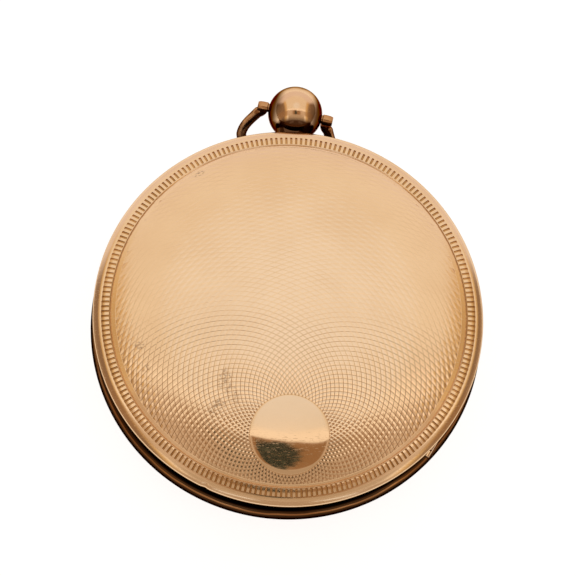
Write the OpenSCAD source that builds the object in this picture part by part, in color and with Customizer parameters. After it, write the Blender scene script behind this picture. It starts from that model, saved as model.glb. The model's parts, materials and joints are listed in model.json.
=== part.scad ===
// Verge pocket watch, open face, about 1820, lying on its crystal with its engine-turned back up.
// The origin is the middle of the crystal's flat front. +Z is the back, +Y points to the pendant.

/* [Case] */
// Outer radius of the back cover's rim
case_r = 27; // [26.4:0.1:29]
// How far the case band is recessed behind the back cover's rim
band_recess = 1.4; // [1.3:0.1:1.6]
// Height of the band's front shoulder, where the bezel closes
band_front = 7.2; // [7:0.1:7.5]
// Height of the band's back shoulder, where the back cover closes
band_back = 11.3; // [11.2:0.1:11.8]
// Wall of the case band
band_wall = 1; // [0.8:0.1:1.4]
// Height of the back cover's crown above its shoulder
cover_height = 4.9; // [4.8:0.1:6]
// Wall of the back cover's dome
cover_wall = 0.7; // [0.5:0.05:0.8]
// Width of the coin-milled ring on the back cover
milling_w = 1.05; // [0.8:0.05:1.2]
// Number of grooves in the coin-milled ring
milling_grooves = 230; // [180:1:240]
// How far the bezel stands out past the back cover's rim
bezel_overhang = 0.3; // [0:0.1:0.6]
// Width of the bezel's ledge behind the crystal's edge
bezel_ledge = 1.9; // [1.4:0.1:1.9]
// Thickness of the crystal
crystal_t = 1; // [0.8:0.1:1.3]
// Radius of the flat on the crystal
crystal_flat_r = 10; // [8:0.5:12]

/* [Hinges] */
// Direction of both hinges from the middle of the case, in degrees
hinge_angle = -30.5; // [-40:0.5:-20]
// Distance of the hinge lines outside the case band
hinge_out = 0.3; // [0.2:0.1:0.5]
// Radius of the hinge knuckles
knuckle_r = 0.55; // [0.45:0.01:0.6]
// Length of each hinge
hinge_len = 12.4; // [9:0.2:13]
// Length of the middle knuckle on the case band
mid_knuckle_len = 4; // [3:0.2:5]
// Radius of the hinge pins
hinge_pin_r = 0.25; // [0.2:0.01:0.3]

/* [Pendant and bow] */
// Radius of the pendant ball
ball_r = 3.85; // [3.4:0.05:3.9]
// Distance of the ball's middle from the case band
ball_reach = 5.3; // [5.2:0.1:5.8]
// Lean of the pendant to the right, in degrees
pendant_lean = 12; // [0:1:14]
// Width of the pendant foot on the band
foot_w = 6.9; // [6:0.1:7.5]
// Half width of the bow, to the middle of its wire
bow_half = 6.65; // [6.5:0.05:7]
// Thickness of the bow's wire
bow_wire = 1.45; // [1.2:0.05:1.5]
// Distance of the bow's far end from its pin, to the middle of its wire
bow_len = 9.5; // [9.2:0.1:9.6]
// Distance of the bow's widest place from its pin
bow_wide_at = 6.1; // [5.5:0.1:6.5]
// Sideways lean of the bow, in degrees
bow_skew = 3.5; // [0:0.5:4]
// Radius of the bow's bosses beside the ball
boss_r = 1.1; // [1:0.05:1.3]
// Radius of the bow pin
bow_pin_r = 0.6; // [0.5:0.05:0.7]
// Fold of the bow from straight out towards the dial side, in degrees
bow_fold = 118; // [110:1:118]

/* [Dial and hands] */
// Gap round the dial inside the bezel's ledge
dial_gap = 0.3; // [0.2:0.1:0.8]
// Thickness of the dial
dial_t = 0.5; // [0.4:0.05:0.6]
// Length of the minute hand from its arbor
minute_len = 16.2; // [14:0.2:17.2]
// Length of the hour hand from its arbor
hour_len = 11; // [9:0.2:12]
// Module of the cannon pinion and the minute wheel
cannon_module = 0.2; // [0.18:0.01:0.22]
// Leaves of the cannon pinion and of the minute pinion
motion_leaves = 12; // [12:1:12]
// Teeth of the minute wheel
minute_teeth = 36; // [36:1:36]
// Teeth of the hour wheel
hour_teeth = 48; // [48:1:48]

/* [Movement frame] */
// Radius of the pillar plate
pillar_plate_r = 20.8; // [20.4:0.1:20.9]
// Thickness of the pillar plate
pillar_plate_t = 0.8; // [0.7:0.05:0.9]
// Height of the pillars between the plates
pillar_h = 4.4; // [4.4:0.1:4.6]
// Radius of the top plate
top_plate_r = 19.6; // [19.4:0.1:20]
// Thickness of the top plate
top_plate_t = 0.7; // [0.6:0.05:0.75]
// Radius of the pillars at their necks
pillar_r = 0.7; // [0.6:0.05:0.8]
// Running clearance of arbors and pivots in their holes
pivot_gap = 0.02; // [0.01:0.01:0.04]

/* [Power] */
// Radius of the mainspring barrel
barrel_r = 7.6; // [7:0.1:7.7]
// Height of the mainspring barrel
barrel_h = 3.4; // [3:0.1:3.45]
// Module of the great wheel and the centre pinion
great_module = 0.36; // [0.35:0.005:0.365]
// Teeth of the great wheel
great_teeth = 48; // [48:1:48]
// Leaves of the centre pinion
centre_leaves = 12; // [12:1:12]
// Radius of the fusee at its large end
fusee_big_r = 6.2; // [5.6:0.1:6.5]
// Radius of the fusee at its small end
fusee_small_r = 3.4; // [3:0.1:3.8]
// Turns of the groove on the fusee
fusee_turns = 6; // [5:1:7]
// Width over the flats of the winding square
square_w = 1.5; // [1.3:0.1:1.7]

/* [Train] */
// Module of the centre wheel and the third pinion
centre_module = 0.28; // [0.27:0.005:0.285]
// Teeth of the centre wheel
centre_teeth = 54; // [54:1:54]
// Module of the third wheel and the contrate pinion
third_module = 0.22; // [0.21:0.005:0.225]
// Teeth of the third wheel and of the contrate wheel
third_teeth = 48; // [48:1:48]
// Leaves of the third, contrate and crown wheel pinions
small_leaves = 6; // [6:1:6]
// Radius of the contrate wheel at the middle of its teeth
contrate_r = 4; // [3.9:0.05:4.05]
// Radius of the crown wheel
crown_r = 2; // [1.9:0.05:2.05]
// Teeth of the crown wheel
crown_teeth = 15; // [13:2:15]

/* [Escapement] */
// Radius of the balance wheel
balance_r = 7.4; // [6.8:0.1:7.5]
// Width of the balance rim
balance_rim = 0.7; // [0.5:0.05:0.9]
// Turns of the balance spring
hairspring_turns = 4; // [3:1:4]
// Turns of the mainspring in its barrel
mainspring_turns = 5; // [4:1:6]
// Radius of the regulator disc
regulator_r = 3; // [2.6:0.1:3.2]

/* [Hidden] */
$fn = 48;
tiny = 0.01;
gold = [0.83, 0.62, 0.30];
copper_gold = [0.72, 0.45, 0.25];
brass = [0.80, 0.64, 0.32];
steel = [0.62, 0.64, 0.68];
blued = [0.12, 0.16, 0.35];

// Case heights and radii that follow from the driving dimensions
fit_gap = 0.1;
band_r = case_r - band_recess;
bezel_r = case_r + bezel_overhang;
hinge_r = band_r + hinge_out;
rim_mid = band_back + 0.7;
cover_top = band_back + cover_height;
dome_curve_r = 160;
dome_edge_r = case_r - 2.5;
dome_flat_r = dome_edge_r - 7.5;
dome_edge_drop = 2.9;
dome_edge_k = (dome_edge_drop - dome_edge_r * dome_edge_r / 2 / dome_curve_r)
    / pow(dome_edge_r - dome_flat_r, 2);
band_inner_r = band_r - band_wall;
neck_r = band_r - 1.2;
neck_front = band_front - 1.9;
lip_r = band_inner_r - fit_gap;
ledge_t = 0.6;
ledge_r = pillar_plate_r - 0.7;
bezel_front = 3.2;
crystal_edge_r = neck_r - 1.5;
sight_r = crystal_edge_r - bezel_ledge;
dial_r = sight_r - dial_gap;
crystal_edge_z = 4.0;
crystal_seat_t = 0.5;
crystal_curve_r = (pow(crystal_edge_r - 0.5 - crystal_flat_r, 2) + pow(3.9, 2)) / 2 / 3.9;

// Pendant heights
pendant_z = (band_front + band_back) / 2;
foot_half_h = (band_back - band_front) / 2 - fit_gap;
boss_in = ball_r + 0.06;
boss_out = boss_in + 1.5;
boss_mid = (boss_in + boss_out) / 2;

// Heights of the movement, measured from the crystal's flat
pillar_plate_back = band_front - 0.2;
pillar_plate_front = pillar_plate_back - pillar_plate_t;
dial_back = pillar_plate_front - 1.1;
dial_front = dial_back - dial_t;
top_plate_front = pillar_plate_back + pillar_h;
top_plate_back = top_plate_front + top_plate_t;
hour_wheel_z = dial_back + 0.1;
minute_wheel_z = dial_back + 0.52;
motion_wheel_t = 0.32;
hour_hand_z = dial_front - 0.55;
minute_hand_z = hour_hand_z - 0.65;
hand_t = 0.2;
hour_module = cannon_module * (motion_leaves + minute_teeth) / (motion_leaves + hour_teeth);
minute_d = cannon_module * (motion_leaves + minute_teeth) / 2;
minute_angle = -90;
cannon_tube_r = 0.7;
centre_post_r = 0.38;
hour_tube_r = 1.1;

// Places of the arbors, seen from the back
great_z = pillar_plate_back + 0.15;
great_t = 0.35;
fusee_angle = 140;
fusee_d = great_module * (great_teeth + centre_leaves) / 2;
fusee_xy = fusee_d * [cos(fusee_angle), sin(fusee_angle)];
barrel_angle = 42;
barrel_xy = 11.8 * [cos(barrel_angle), sin(barrel_angle)];
barrel_screw_d = 5.6;
barrel_bridge_w = 3.4;
barrel_bridge_t = 0.6;
centre_wheel_t = 0.3;
centre_wheel_z = top_plate_front - 0.65;
third_angle = -55;
third_d = centre_module * (centre_teeth + small_leaves) / 2;
third_xy = third_d * [cos(third_angle), sin(third_angle)];
third_wheel_z = pillar_plate_back + 0.35;
third_wheel_t = 0.25;
contrate_angle = -101;
contrate_d = third_module * (third_teeth + small_leaves) / 2;
contrate_xy = third_xy + contrate_d * [cos(contrate_angle), sin(contrate_angle)];
crown_axis_z = (pillar_plate_back + top_plate_front) / 2;
crown_angle = 159;
crown_dir = [cos(crown_angle), sin(crown_angle)];
crown_pinion_r = contrate_r * small_leaves / third_teeth;
crown_module = 2 * crown_pinion_r / small_leaves;
crown_back = contrate_r - 1.3;
crown_web_s = contrate_r + 2.3;
crown_tip_s = crown_web_s + 1.6;
verge_s = crown_tip_s + 0.8;
verge_xy = contrate_xy + verge_s * crown_dir;
pallet_len = 0.62;
potence_foot_t = 0.33;
small_pivot_r = 0.16;
arbor_r = 0.3;

// The fusee's cone and the chain that leaves it for the barrel
fusee_z = great_z + great_t + 0.1;
fusee_h = centre_wheel_z - 0.25 - fusee_z;
barrel_z = pillar_plate_back + 0.12;
fusee_axis_r = 0.6;
setup_z = pillar_plate_front - 0.55;
setup_t = 0.4;
setup_r = 2.4;
setup_teeth = 24;
click_angle = 5;
click_d = 4.2;
chain_t = 0.34;
chain_h = 0.4;
chain_gap = 0.1;
chain_z = fusee_z + fusee_h * 0.5;
chain_pitch = fusee_h / fusee_turns;
chain_steps = 24;

// The balance, its spring and the regulator above the top plate
balance_z = top_plate_back + 0.65;
balance_t = 0.35;
hairspring_z = top_plate_back + 0.26;
hairspring_h = 0.2;
hairspring_w = 0.14;
hairspring_in_r = 0.72;
hairspring_pitch = 0.62;
stud_angle = 200;
bridge_z = balance_z + balance_t + 0.35;
bridge_t = 0.6;
bridge_angle = 115;
bridge_foot_d = 8.9;
bridge_foot_r = 1.2;
regulator_angle = 20;
regulator_d = 11.4;
regulator_xy = verge_xy + regulator_d * [cos(regulator_angle), sin(regulator_angle)];
rack_module = 0.3;
rack_leaves = 8;
rack_teeth = 2 * regulator_d / rack_module - rack_leaves;
rack_r = rack_teeth * rack_module / 2;
rack_z = top_plate_back + 0.05;
rack_t = 0.28;
rack_from = regulator_angle - 35;
rack_to = regulator_angle + 55;
rack_w = 0.8;
rack_teeth_before = 6;
rack_teeth_after = 7;
curb_angle = rack_to - 3;
pillar_angles = [91, 200, -15, -58];
pillar_d = 17.9;
case_screw_angles = [-36, 180];
case_screw_d = 19.25;
dial_foot_angles = [80, 225, 330];
dial_foot_d = 16.5;

// Height of the cover's dome at a radius
function dome_z(r) = cover_top - r * r / 2 / dome_curve_r
    - dome_edge_k * pow(max(0, r - dome_flat_r), 2);
// Height of the crystal's outer face at a radius
function crystal_z(r) = r <= crystal_flat_r ? 0
    : crystal_curve_r - sqrt(pow(crystal_curve_r, 2) - pow(r - crystal_flat_r, 2));
// Points of an arc in profile, from angle a to angle b
function arc(x, y, r, a, b, n = 8) = [for (i = [0:n]) let (t = a + (b - a) * i / n)
    [x + r * cos(t), y + r * sin(t)]];
// Radius of the fusee's groove at a share of its height, hollow as a real one
function fusee_r(t) = fusee_small_r
    + (fusee_big_r - fusee_small_r) * pow(1 - min(1, max(0, t)), 1.35);

// A toothed outline. The first tooth points along +X.
module gear_2d(teeth, m, tip = 0.8, root = 1.15, wide = 0.46, narrow = 0.16) {
    pitch_r = teeth * m / 2;
    step = 360 / teeth;
    polygon([for (i = [0:teeth - 1]) each [
        for (p = [[-root, -wide], [tip, -narrow], [tip, narrow], [-root, wide]])
            let (a = step * (i + p[1] / 2))
            (pitch_r + p[0] * m) * [cos(a), sin(a)]
    ]]);
}

// The leaves of a pinion, thinner than a wheel's teeth
module pinion_2d(leaves, m) {
    gear_2d(leaves, m, tip = 0.6, root = 1.1, wide = 0.42, narrow = 0.2);
}

// A flat wheel with a rim, a hub and straight crossings
module crossed_wheel(teeth, m, t, hub_r, rim, arms, bore_r) {
    root_r = teeth * m / 2 - 1.15 * m;
    difference() {
        linear_extrude(t) gear_2d(teeth, m);
        for (i = [0:arms - 1]) rotate([0, 0, 360 / arms * (i + 0.5)])
            crossing(root_r - rim, hub_r, arms, t);
        translate([0, 0, -1]) cylinder(r = bore_r, h = t + 2);
    }
}

// One opening between two arms of a wheel
module crossing(outer_r, inner_r, arms, t, arm_w = 0.7) {
    half = 180 / arms;
    a_out = half - asin(arm_w / 2 / outer_r);
    a_in = half - asin(arm_w / 2 / inner_r);
    translate([0, 0, -1]) linear_extrude(t + 2) polygon(concat(
        arc(0, 0, outer_r, -a_out, a_out, 10), arc(0, 0, inner_r, a_in, -a_in, 6)));
}

// A flat spiral strip between two radii, with its least gap printed
module spiral_strip(name, in_r, pitch, turns, strip, h, steps = 16) {
    n = turns * steps;
    at = function (i, off) let (a = 360 * i / steps, r = in_r + pitch * i / steps + off)
        r * [cos(a), sin(a)];
    gaps = [for (i = [0:n - steps]) norm(at(i + steps, 0) - at(i, strip))];
    echo(str(name, " least gap ", min(gaps)));
    linear_extrude(h) polygon(concat(
        [for (i = [0:n]) at(i, strip)], [for (i = [n:-1:0]) at(i, 0)]));
}

// A straight-slotted cheese-head screw standing on z = 0, with its shank below
module screw(head_r, head_h, shank_r, shank_l) {
    difference() {
        union() {
            cylinder(r = head_r, h = head_h);
            translate([0, 0, -shank_l]) cylinder(r = shank_r, h = shank_l + tiny);
        }
        translate([-head_r - 1, -0.12, head_h - 0.15]) cube([2 * head_r + 2, 0.24, 1]);
    }
}

module at_polar(d, a, z = 0) { translate([d * cos(a), d * sin(a), z]) children(); }
module at_xy(p, z = 0) { translate([p[0], p[1], z]) children(); }

// Part of a hinge barrel, centred on the hinge line at height z
module on_hinge(z) {
    rotate([0, 0, hinge_angle]) translate([hinge_r, 0, z]) rotate([90, 0, 0]) children();
}
module knuckle(r, from, to) { translate([0, 0, from]) cylinder(r = r, h = to - from); }
module side_knuckles(r, gap = 0) {
    for (s = [-1, 1]) scale_side(s) knuckle(r, mid_knuckle_len / 2 + fit_gap - gap,
        hinge_len / 2 + gap);
}
module scale_side(s) { mirror([0, 0, s < 0 ? 1 : 0]) children(); }

// The recessed band of the case, with its neck for the bezel and its ledge for the movement
module case_band() {
    color(copper_gold) difference() {
        union() {
            rotate_extrude($fn = 96) polygon([
                [pillar_plate_r + 0.15, neck_front], [neck_r, neck_front], [neck_r, band_front],
                [band_r, band_front], [band_r - 0.35, band_front + 1.2],
                [band_r - 0.35, band_back - 1.2], [band_r, band_back],
                [band_inner_r, band_back], [band_inner_r, pillar_plate_back + ledge_t],
                [ledge_r, pillar_plate_back + ledge_t], [ledge_r, pillar_plate_back],
                [pillar_plate_r + 0.15, pillar_plate_back]
            ]);
            for (z = [band_front, band_back]) on_hinge(z)
                knuckle(knuckle_r, -mid_knuckle_len / 2, mid_knuckle_len / 2);
        }
        for (z = [band_front, band_back]) on_hinge(z) {
            side_knuckles(knuckle_r + fit_gap, fit_gap);
            cylinder(r = hinge_pin_r + 0.03, h = hinge_len + 2, center = true);
        }
    }
}

// The domed back with its milled ring, plain rim, inner lip and hinge knuckles
module back_cover() {
    ring_out = case_r - 1.15;
    ring_in = ring_out - milling_w;
    ring_z = dome_z(dome_edge_r);
    nick_angle = -117;
    color(gold) difference() {
        union() {
            rotate_extrude($fn = 96) polygon(concat(
                [for (i = [0:12]) let (r = dome_edge_r * i / 12) [r, dome_z(r)]],
                [[ring_in, ring_z + 0.02], [ring_out, ring_z - 0.35]],
                arc(case_r - 1, rim_mid - 0.05, 1, 75, -45, 7),
                [[case_r - 0.7, band_back], [lip_r, band_back], [lip_r, band_back - 0.5],
                 [lip_r - 0.4, band_back - 0.5], [lip_r - 0.4, band_back + 0.5]],
                [for (i = [10:-1:0]) let (r = (lip_r - 1) * i / 10) [r, dome_z(r) - cover_wall]]
            ));
            on_hinge(band_back) side_knuckles(knuckle_r);
        }
        on_hinge(band_back) {
            knuckle(knuckle_r + fit_gap, -mid_knuckle_len / 2 - fit_gap,
                mid_knuckle_len / 2 + fit_gap);
            cylinder(r = hinge_pin_r, h = hinge_len + 2, center = true);
        }
        at_polar(case_r + 0.1, nick_angle, band_back - 1) cylinder(r = 0.3, h = 1.6);
        for (i = [0.5:milling_grooves]) rotate([0, 0, 360 * i / milling_grooves])
            translate([ring_in + 0.12, 0, ring_z + 0.1])
            rotate([0, 90 + atan2(0.37, milling_w), 0])
            cylinder(r = 0.22, h = milling_w - 0.24, $fn = 12);
    }
}

module hinge_pin(z) {
    color(steel) on_hinge(z) cylinder(r = hinge_pin_r, h = hinge_len, center = true);
}
module cover_hinge_pin() { hinge_pin(band_back); }
module bezel_hinge_pin() { hinge_pin(band_front); }

// The bezel, snapped over the band's neck, with its groove for the crystal
module bezel() {
    wall_in = neck_r + fit_gap;
    seat_out = crystal_edge_r + 0.03;
    seat_back = crystal_edge_z + crystal_seat_t + 0.03;
    seat_front = crystal_edge_z - 0.03;
    color(copper_gold) difference() {
        union() {
            rotate_extrude($fn = 96) polygon(concat(
                [[wall_in, band_front], [bezel_r - 0.8, band_front]],
                arc(bezel_r - 1.2, band_front - 1.3, 1.2, 60, -70, 8),
                [[bezel_r - 2.7, bezel_front + 0.25], [crystal_edge_r + 0.5, bezel_front],
                 [crystal_edge_r - 0.15, bezel_front + 0.2],
                 [crystal_edge_r - 0.3, seat_front], [seat_out, seat_front],
                 [seat_out, seat_back],
                 [sight_r, seat_back], [sight_r, neck_front - fit_gap],
                 [wall_in, neck_front - fit_gap]]
            ));
            on_hinge(band_front) side_knuckles(knuckle_r);
        }
        on_hinge(band_front) {
            knuckle(knuckle_r + fit_gap, -mid_knuckle_len / 2 - fit_gap,
                mid_knuckle_len / 2 + fit_gap);
            cylinder(r = hinge_pin_r, h = hinge_len + 2, center = true);
        }
    }
}

// The domed glass with its ground flat and its edge in the bezel's groove
module crystal() {
    join_r = crystal_edge_r - 0.5;
    steps = 10;
    color([0.85, 0.92, 0.95, 0.35]) rotate_extrude($fn = 96) polygon(concat(
        [[0, 0]],
        [for (i = [0:steps]) let (r = crystal_flat_r + (join_r - crystal_flat_r) * i / steps)
            [r, crystal_z(r)]],
        [[join_r, crystal_edge_z], [crystal_edge_r, crystal_edge_z],
         [crystal_edge_r, crystal_edge_z + crystal_seat_t],
         [join_r - crystal_t, crystal_edge_z + crystal_seat_t]],
        [for (i = [steps - 1:-1:0])
            let (r = crystal_flat_r + (join_r - 0.8 * crystal_t - crystal_flat_r) * i / steps)
            [r, crystal_z(r) + crystal_t]],
        [[0, crystal_t]]
    ));
}

// The pendant's own frame: middle of the ball, +Y away from the case, +X along the bow pin
module at_pendant() {
    translate([0, band_r, pendant_z]) rotate([0, 0, -pendant_lean])
        translate([0, ball_reach, 0]) children();
}

module pendant_foot() {
    color(copper_gold) difference() {
        intersection() {
            at_pendant() translate([0, -ball_reach, 0]) rotate([-90, 0, 0])
                rotate_extrude() polygon([
                    [0, -1], [foot_w / 2, -1], [foot_w / 2, 0.35], [foot_w / 2 - 0.5, 0.75],
                    [2.3, 1.05], [2.1, 1.5], [2.3, 2.4], [0, 2.4]
                ]);
            translate([-10, band_r - 3, pendant_z - foot_half_h])
                cube([20, 10, 2 * foot_half_h]);
        }
        translate([0, 0, band_front - 1]) cylinder(r = band_r, h = 8, $fn = 96);
        at_pendant() sphere(r = ball_r);
    }
}

module pendant_ball() {
    color(copper_gold) at_pendant() rotate([0, 90, 0]) difference() {
        sphere(r = ball_r);
        cylinder(r = bow_pin_r, h = 3 * ball_r, center = true);
    }
}

module bow_pin() {
    color(copper_gold) at_pendant() rotate([0, 90, 0])
        cylinder(r = bow_pin_r, h = 2 * boss_out, center = true);
}

// Middle line of the bow's wire, from the right boss round the far end to the left boss
function bow_side(s, i) = [
    s * (boss_mid + (bow_half - boss_mid) * pow(sin(9 * i), 1.5)), bow_wide_at * i / 10
];
bow_line = concat(
    [for (i = [0:9]) bow_side(1, i)],
    [for (a = [0:7.5:180])
        [bow_half * cos(a), bow_wide_at + (bow_len - bow_wide_at) * sin(a)]],
    [for (i = [9:-1:0]) bow_side(-1, i)]
);

// A round wire that follows a flat line
module wire(line, r, sides = 16) {
    last = len(line) - 1;
    polyhedron(
        [for (i = [0:last])
            let (d = line[min(last, i + 1)] - line[max(0, i - 1)], n = [d[1], -d[0]] / norm(d))
            each [for (k = [0:sides - 1]) let (a = 360 * (k + 0.5) / sides)
                [line[i][0] + r * n[0] * cos(a), line[i][1] + r * n[1] * cos(a), r * sin(a)]]],
        concat(
            [[for (k = [sides - 1:-1:0]) k]],
            [for (i = [0:last - 1], k = [0:sides - 1])
                let (a = sides * i + k, b = sides * i + (k + 1) % sides)
                each [[a, b + sides, a + sides], [a, b, b + sides]]],
            [[for (k = [0:sides - 1]) sides * last + k]]
        )
    );
}

// The bow: an oval of wire that ends in two bosses beside the ball
module bow() {
    color(copper_gold) at_pendant() rotate([-bow_fold, 0, 0]) difference() {
        union() {
            rotate([0, 0, bow_skew]) wire(bow_line, bow_wire / 2);
            for (s = [-1, 1]) rotate([0, 90 * s, 0]) translate([0, 0, boss_in]) {
                cylinder(r = boss_r, h = boss_out - boss_in);
                translate([0, 0, 1.05]) cylinder(r = boss_r + 0.12, h = 0.35);
            }
        }
        sphere(r = ball_r + 0.05);
        rotate([0, 90, 0]) cylinder(r = bow_pin_r + 0.03, h = 30, center = true);
    }
}

// The dial, with its feet at the back
module dial() {
    color([0.95, 0.94, 0.90]) difference() {
        union() {
            rotate_extrude($fn = 96) polygon([
                [0, dial_front], [dial_r - 0.4, dial_front], [dial_r, dial_front + 0.2],
                [dial_r, dial_back], [0, dial_back]
            ]);
            for (a = dial_foot_angles) at_polar(dial_foot_d, a, dial_back - tiny)
                cylinder(r = 0.4, h = pillar_plate_back - dial_back + 0.6);
        }
        translate([0, 0, dial_front - 1]) cylinder(r = hour_tube_r + 0.25, h = dial_t + 2);
        for (a = dial_foot_angles) at_polar(dial_foot_d, a, pillar_plate_back + 0.2)
            rotate([90, 0, a]) cylinder(r = 0.15, h = 3, center = true);
    }
}

module dial_foot_pins() {
    color(steel) for (a = dial_foot_angles) at_polar(dial_foot_d, a, pillar_plate_back + 0.2)
        rotate([90, 0, a]) cylinder(r = 0.15, h = 1.8, center = true);
}

// A hand of tapered outline with an open ring before its tip, pointing along +Y
module hand(len, hub, ring_r, bore_r) {
    ring_y = len * 0.72;
    difference() {
        union() {
            cylinder(r = hub, h = hand_t);
            linear_extrude(hand_t)
                polygon([[-0.42, 0], [-0.2, ring_y], [0.2, ring_y], [0.42, 0]]);
            translate([0, ring_y, 0]) cylinder(r = ring_r, h = hand_t);
            linear_extrude(hand_t) polygon([[-0.3, ring_y + ring_r * 0.8], [0, len],
                [0.3, ring_y + ring_r * 0.8]]);
        }
        translate([ring_r * 0.18, ring_y, -1]) cylinder(r = ring_r * 0.58, h = 3);
        translate([0, 0, -1]) cylinder(r = bore_r, h = 3);
    }
}

module minute_hand() {
    color(blued) translate([0, 0, minute_hand_z]) rotate([0, 0, -60])
        hand(minute_len, 1.3, 1, cannon_tube_r);
}

module hour_hand() {
    color(blued) translate([0, 0, hour_hand_z]) rotate([0, 0, 55])
        hand(hour_len, 1.75, 1.2, hour_tube_r);
}

module cannon_pinion() {
    color(steel) difference() {
        union() {
            translate([0, 0, minute_hand_z])
                cylinder(r = cannon_tube_r, h = pillar_plate_front - 0.05 - minute_hand_z);
            translate([0, 0, minute_wheel_z]) rotate([0, 0, minute_angle])
                linear_extrude(pillar_plate_front - 0.05 - minute_wheel_z)
                pinion_2d(motion_leaves, cannon_module);
        }
        translate([0, 0, minute_hand_z - 1]) cylinder(r = centre_post_r + pivot_gap, h = 9);
    }
}

module minute_wheel() {
    color(brass) at_polar(minute_d, minute_angle, 0) difference() {
        union() {
            translate([0, 0, minute_wheel_z])
                rotate([0, 0, minute_angle + 180 + 180 / minute_teeth])
                crossed_wheel(minute_teeth, cannon_module, motion_wheel_t, 1.5, 0.5, 3, 0.3);
            translate([0, 0, hour_wheel_z])
                rotate([0, 0, minute_angle + 180 + 180 / motion_leaves])
                linear_extrude(minute_wheel_z - hour_wheel_z)
                pinion_2d(motion_leaves, hour_module);
        }
        translate([0, 0, dial_back - 1]) cylinder(r = 0.3 + pivot_gap, h = 3);
    }
}

module hour_wheel() {
    color(brass) difference() {
        union() {
            translate([0, 0, hour_wheel_z]) rotate([0, 0, minute_angle])
                crossed_wheel(hour_teeth, hour_module, motion_wheel_t, 1.6, 0.5, 4, 0.5);
            translate([0, 0, hour_hand_z])
                cylinder(r = hour_tube_r, h = hour_wheel_z + motion_wheel_t - hour_hand_z);
        }
        translate([0, 0, hour_hand_z - 1]) cylinder(r = cannon_tube_r + pivot_gap, h = 6);
    }
}

// The pillar plate, with its holes and the stud for the minute wheel
module pillar_plate() {
    color(brass) difference() {
        union() {
            translate([0, 0, pillar_plate_front])
                cylinder(r = pillar_plate_r, h = pillar_plate_t, $fn = 96);
            at_polar(minute_d, minute_angle, hour_wheel_z)
                cylinder(r = 0.3, h = pillar_plate_front - hour_wheel_z + tiny);
        }
        translate([0, 0, pillar_plate_front - 1]) {
            cylinder(r = centre_post_r + pivot_gap, h = 3);
            at_xy(third_xy) cylinder(r = small_pivot_r + pivot_gap, h = 3);
            at_xy(contrate_xy) cylinder(r = small_pivot_r + pivot_gap, h = 3);
            at_xy(fusee_xy) cylinder(r = 0.4 + pivot_gap, h = 3);
            at_xy(barrel_xy) cylinder(r = 0.8, h = 3);
            for (a = pillar_angles) at_polar(pillar_d, a) cylinder(r = pillar_r, h = 3);
            for (a = case_screw_angles) at_polar(case_screw_d, a) cylinder(r = 0.5, h = 3);
            for (a = dial_foot_angles) at_polar(dial_foot_d, a) cylinder(r = 0.45, h = 3);
        }
    }
}

// Four turned pillars between the plates
module pillars() {
    color(brass) for (a = pillar_angles) at_polar(pillar_d, a) difference() {
        rotate_extrude() polygon([
            [0, pillar_plate_front], [pillar_r, pillar_plate_front],
            [pillar_r, pillar_plate_back], [1.05, pillar_plate_back],
            [1.05, pillar_plate_back + 0.5], [pillar_r, pillar_plate_back + 0.9],
            [pillar_r + 0.2, pillar_plate_back + pillar_h / 2],
            [pillar_r, top_plate_front - 0.9], [1.05, top_plate_front - 0.5],
            [1.05, top_plate_front], [pillar_r - 0.1, top_plate_front],
            [pillar_r - 0.1, top_plate_back + 0.6], [0, top_plate_back + 0.6]
        ]);
        translate([0, 0, top_plate_back + 0.2]) rotate([90, 0, a])
            cylinder(r = 0.2, h = 4, center = true);
    }
}

module pillar_pins() {
    color(steel) for (a = pillar_angles) at_polar(pillar_d, a, top_plate_back + 0.2)
        rotate([90, 0, a]) cylinder(r = 0.2, h = 2.6, center = true);
}

// The top plate, cut away over the barrel
module top_plate() {
    color(brass) translate([0, 0, top_plate_front]) difference() {
        cylinder(r = top_plate_r, h = top_plate_t, $fn = 96);
        translate([0, 0, -1]) {
            cylinder(r = small_pivot_r + pivot_gap, h = 3);
            at_xy(third_xy) cylinder(r = small_pivot_r + pivot_gap, h = 3);
            at_xy(contrate_xy) cylinder(r = small_pivot_r + pivot_gap, h = 3);
            at_xy(fusee_xy) cylinder(r = fusee_axis_r + 0.1 + pivot_gap, h = 3);
            at_xy(verge_xy) cylinder(r = 0.9, h = 3);
            at_xy(barrel_xy) cylinder(r = barrel_r - 3, h = 3);
            for (a = pillar_angles) at_polar(pillar_d, a) cylinder(r = pillar_r - 0.1, h = 3);
        }
        for (s = [-1, 1]) {
            at_bridge_foot(s) translate([0, 0, top_plate_t - 0.5])
                cylinder(r = 0.35, h = 1);
            at_barrel_screw(s) translate([0, 0, top_plate_t - 0.5])
                cylinder(r = 0.35, h = 1);
        }
        at_xy(regulator_xy, top_plate_t - 0.5) cylinder(r = 0.4 + pivot_gap, h = 1);
    }
}

module at_bridge_foot(s) {
    at_xy(verge_xy) at_polar(s * bridge_foot_d, bridge_angle) children();
}
module at_barrel_screw(s) {
    at_xy(barrel_xy) at_polar(s * barrel_screw_d, barrel_angle + 90) children();
}

// Two dog screws that hold the pillar plate against the case's ledge
module case_screws() {
    color(blued) for (a = case_screw_angles)
        at_polar(case_screw_d, a, pillar_plate_back + ledge_t)
        screw(1.3, 0.4, 0.45, ledge_t + pillar_plate_t);
}

// The bar over the barrel, screwed to the top plate
module barrel_bridge() {
    color(brass) at_xy(barrel_xy, top_plate_back) rotate([0, 0, barrel_angle + 90])
        difference() {
            union() {
                translate([-barrel_screw_d, -barrel_bridge_w / 2, 0])
                    cube([2 * barrel_screw_d, barrel_bridge_w, barrel_bridge_t]);
                for (s = [-1, 1]) translate([barrel_screw_d * s, 0, 0])
                    cylinder(r = barrel_bridge_w / 2, h = barrel_bridge_t);
            }
            for (s = [-1, 1]) translate([barrel_screw_d * s, 0, -1]) cylinder(r = 0.4, h = 3);
            translate([0, 0, -1]) cylinder(r = 0.5 + pivot_gap, h = 3);
        }
}

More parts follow.
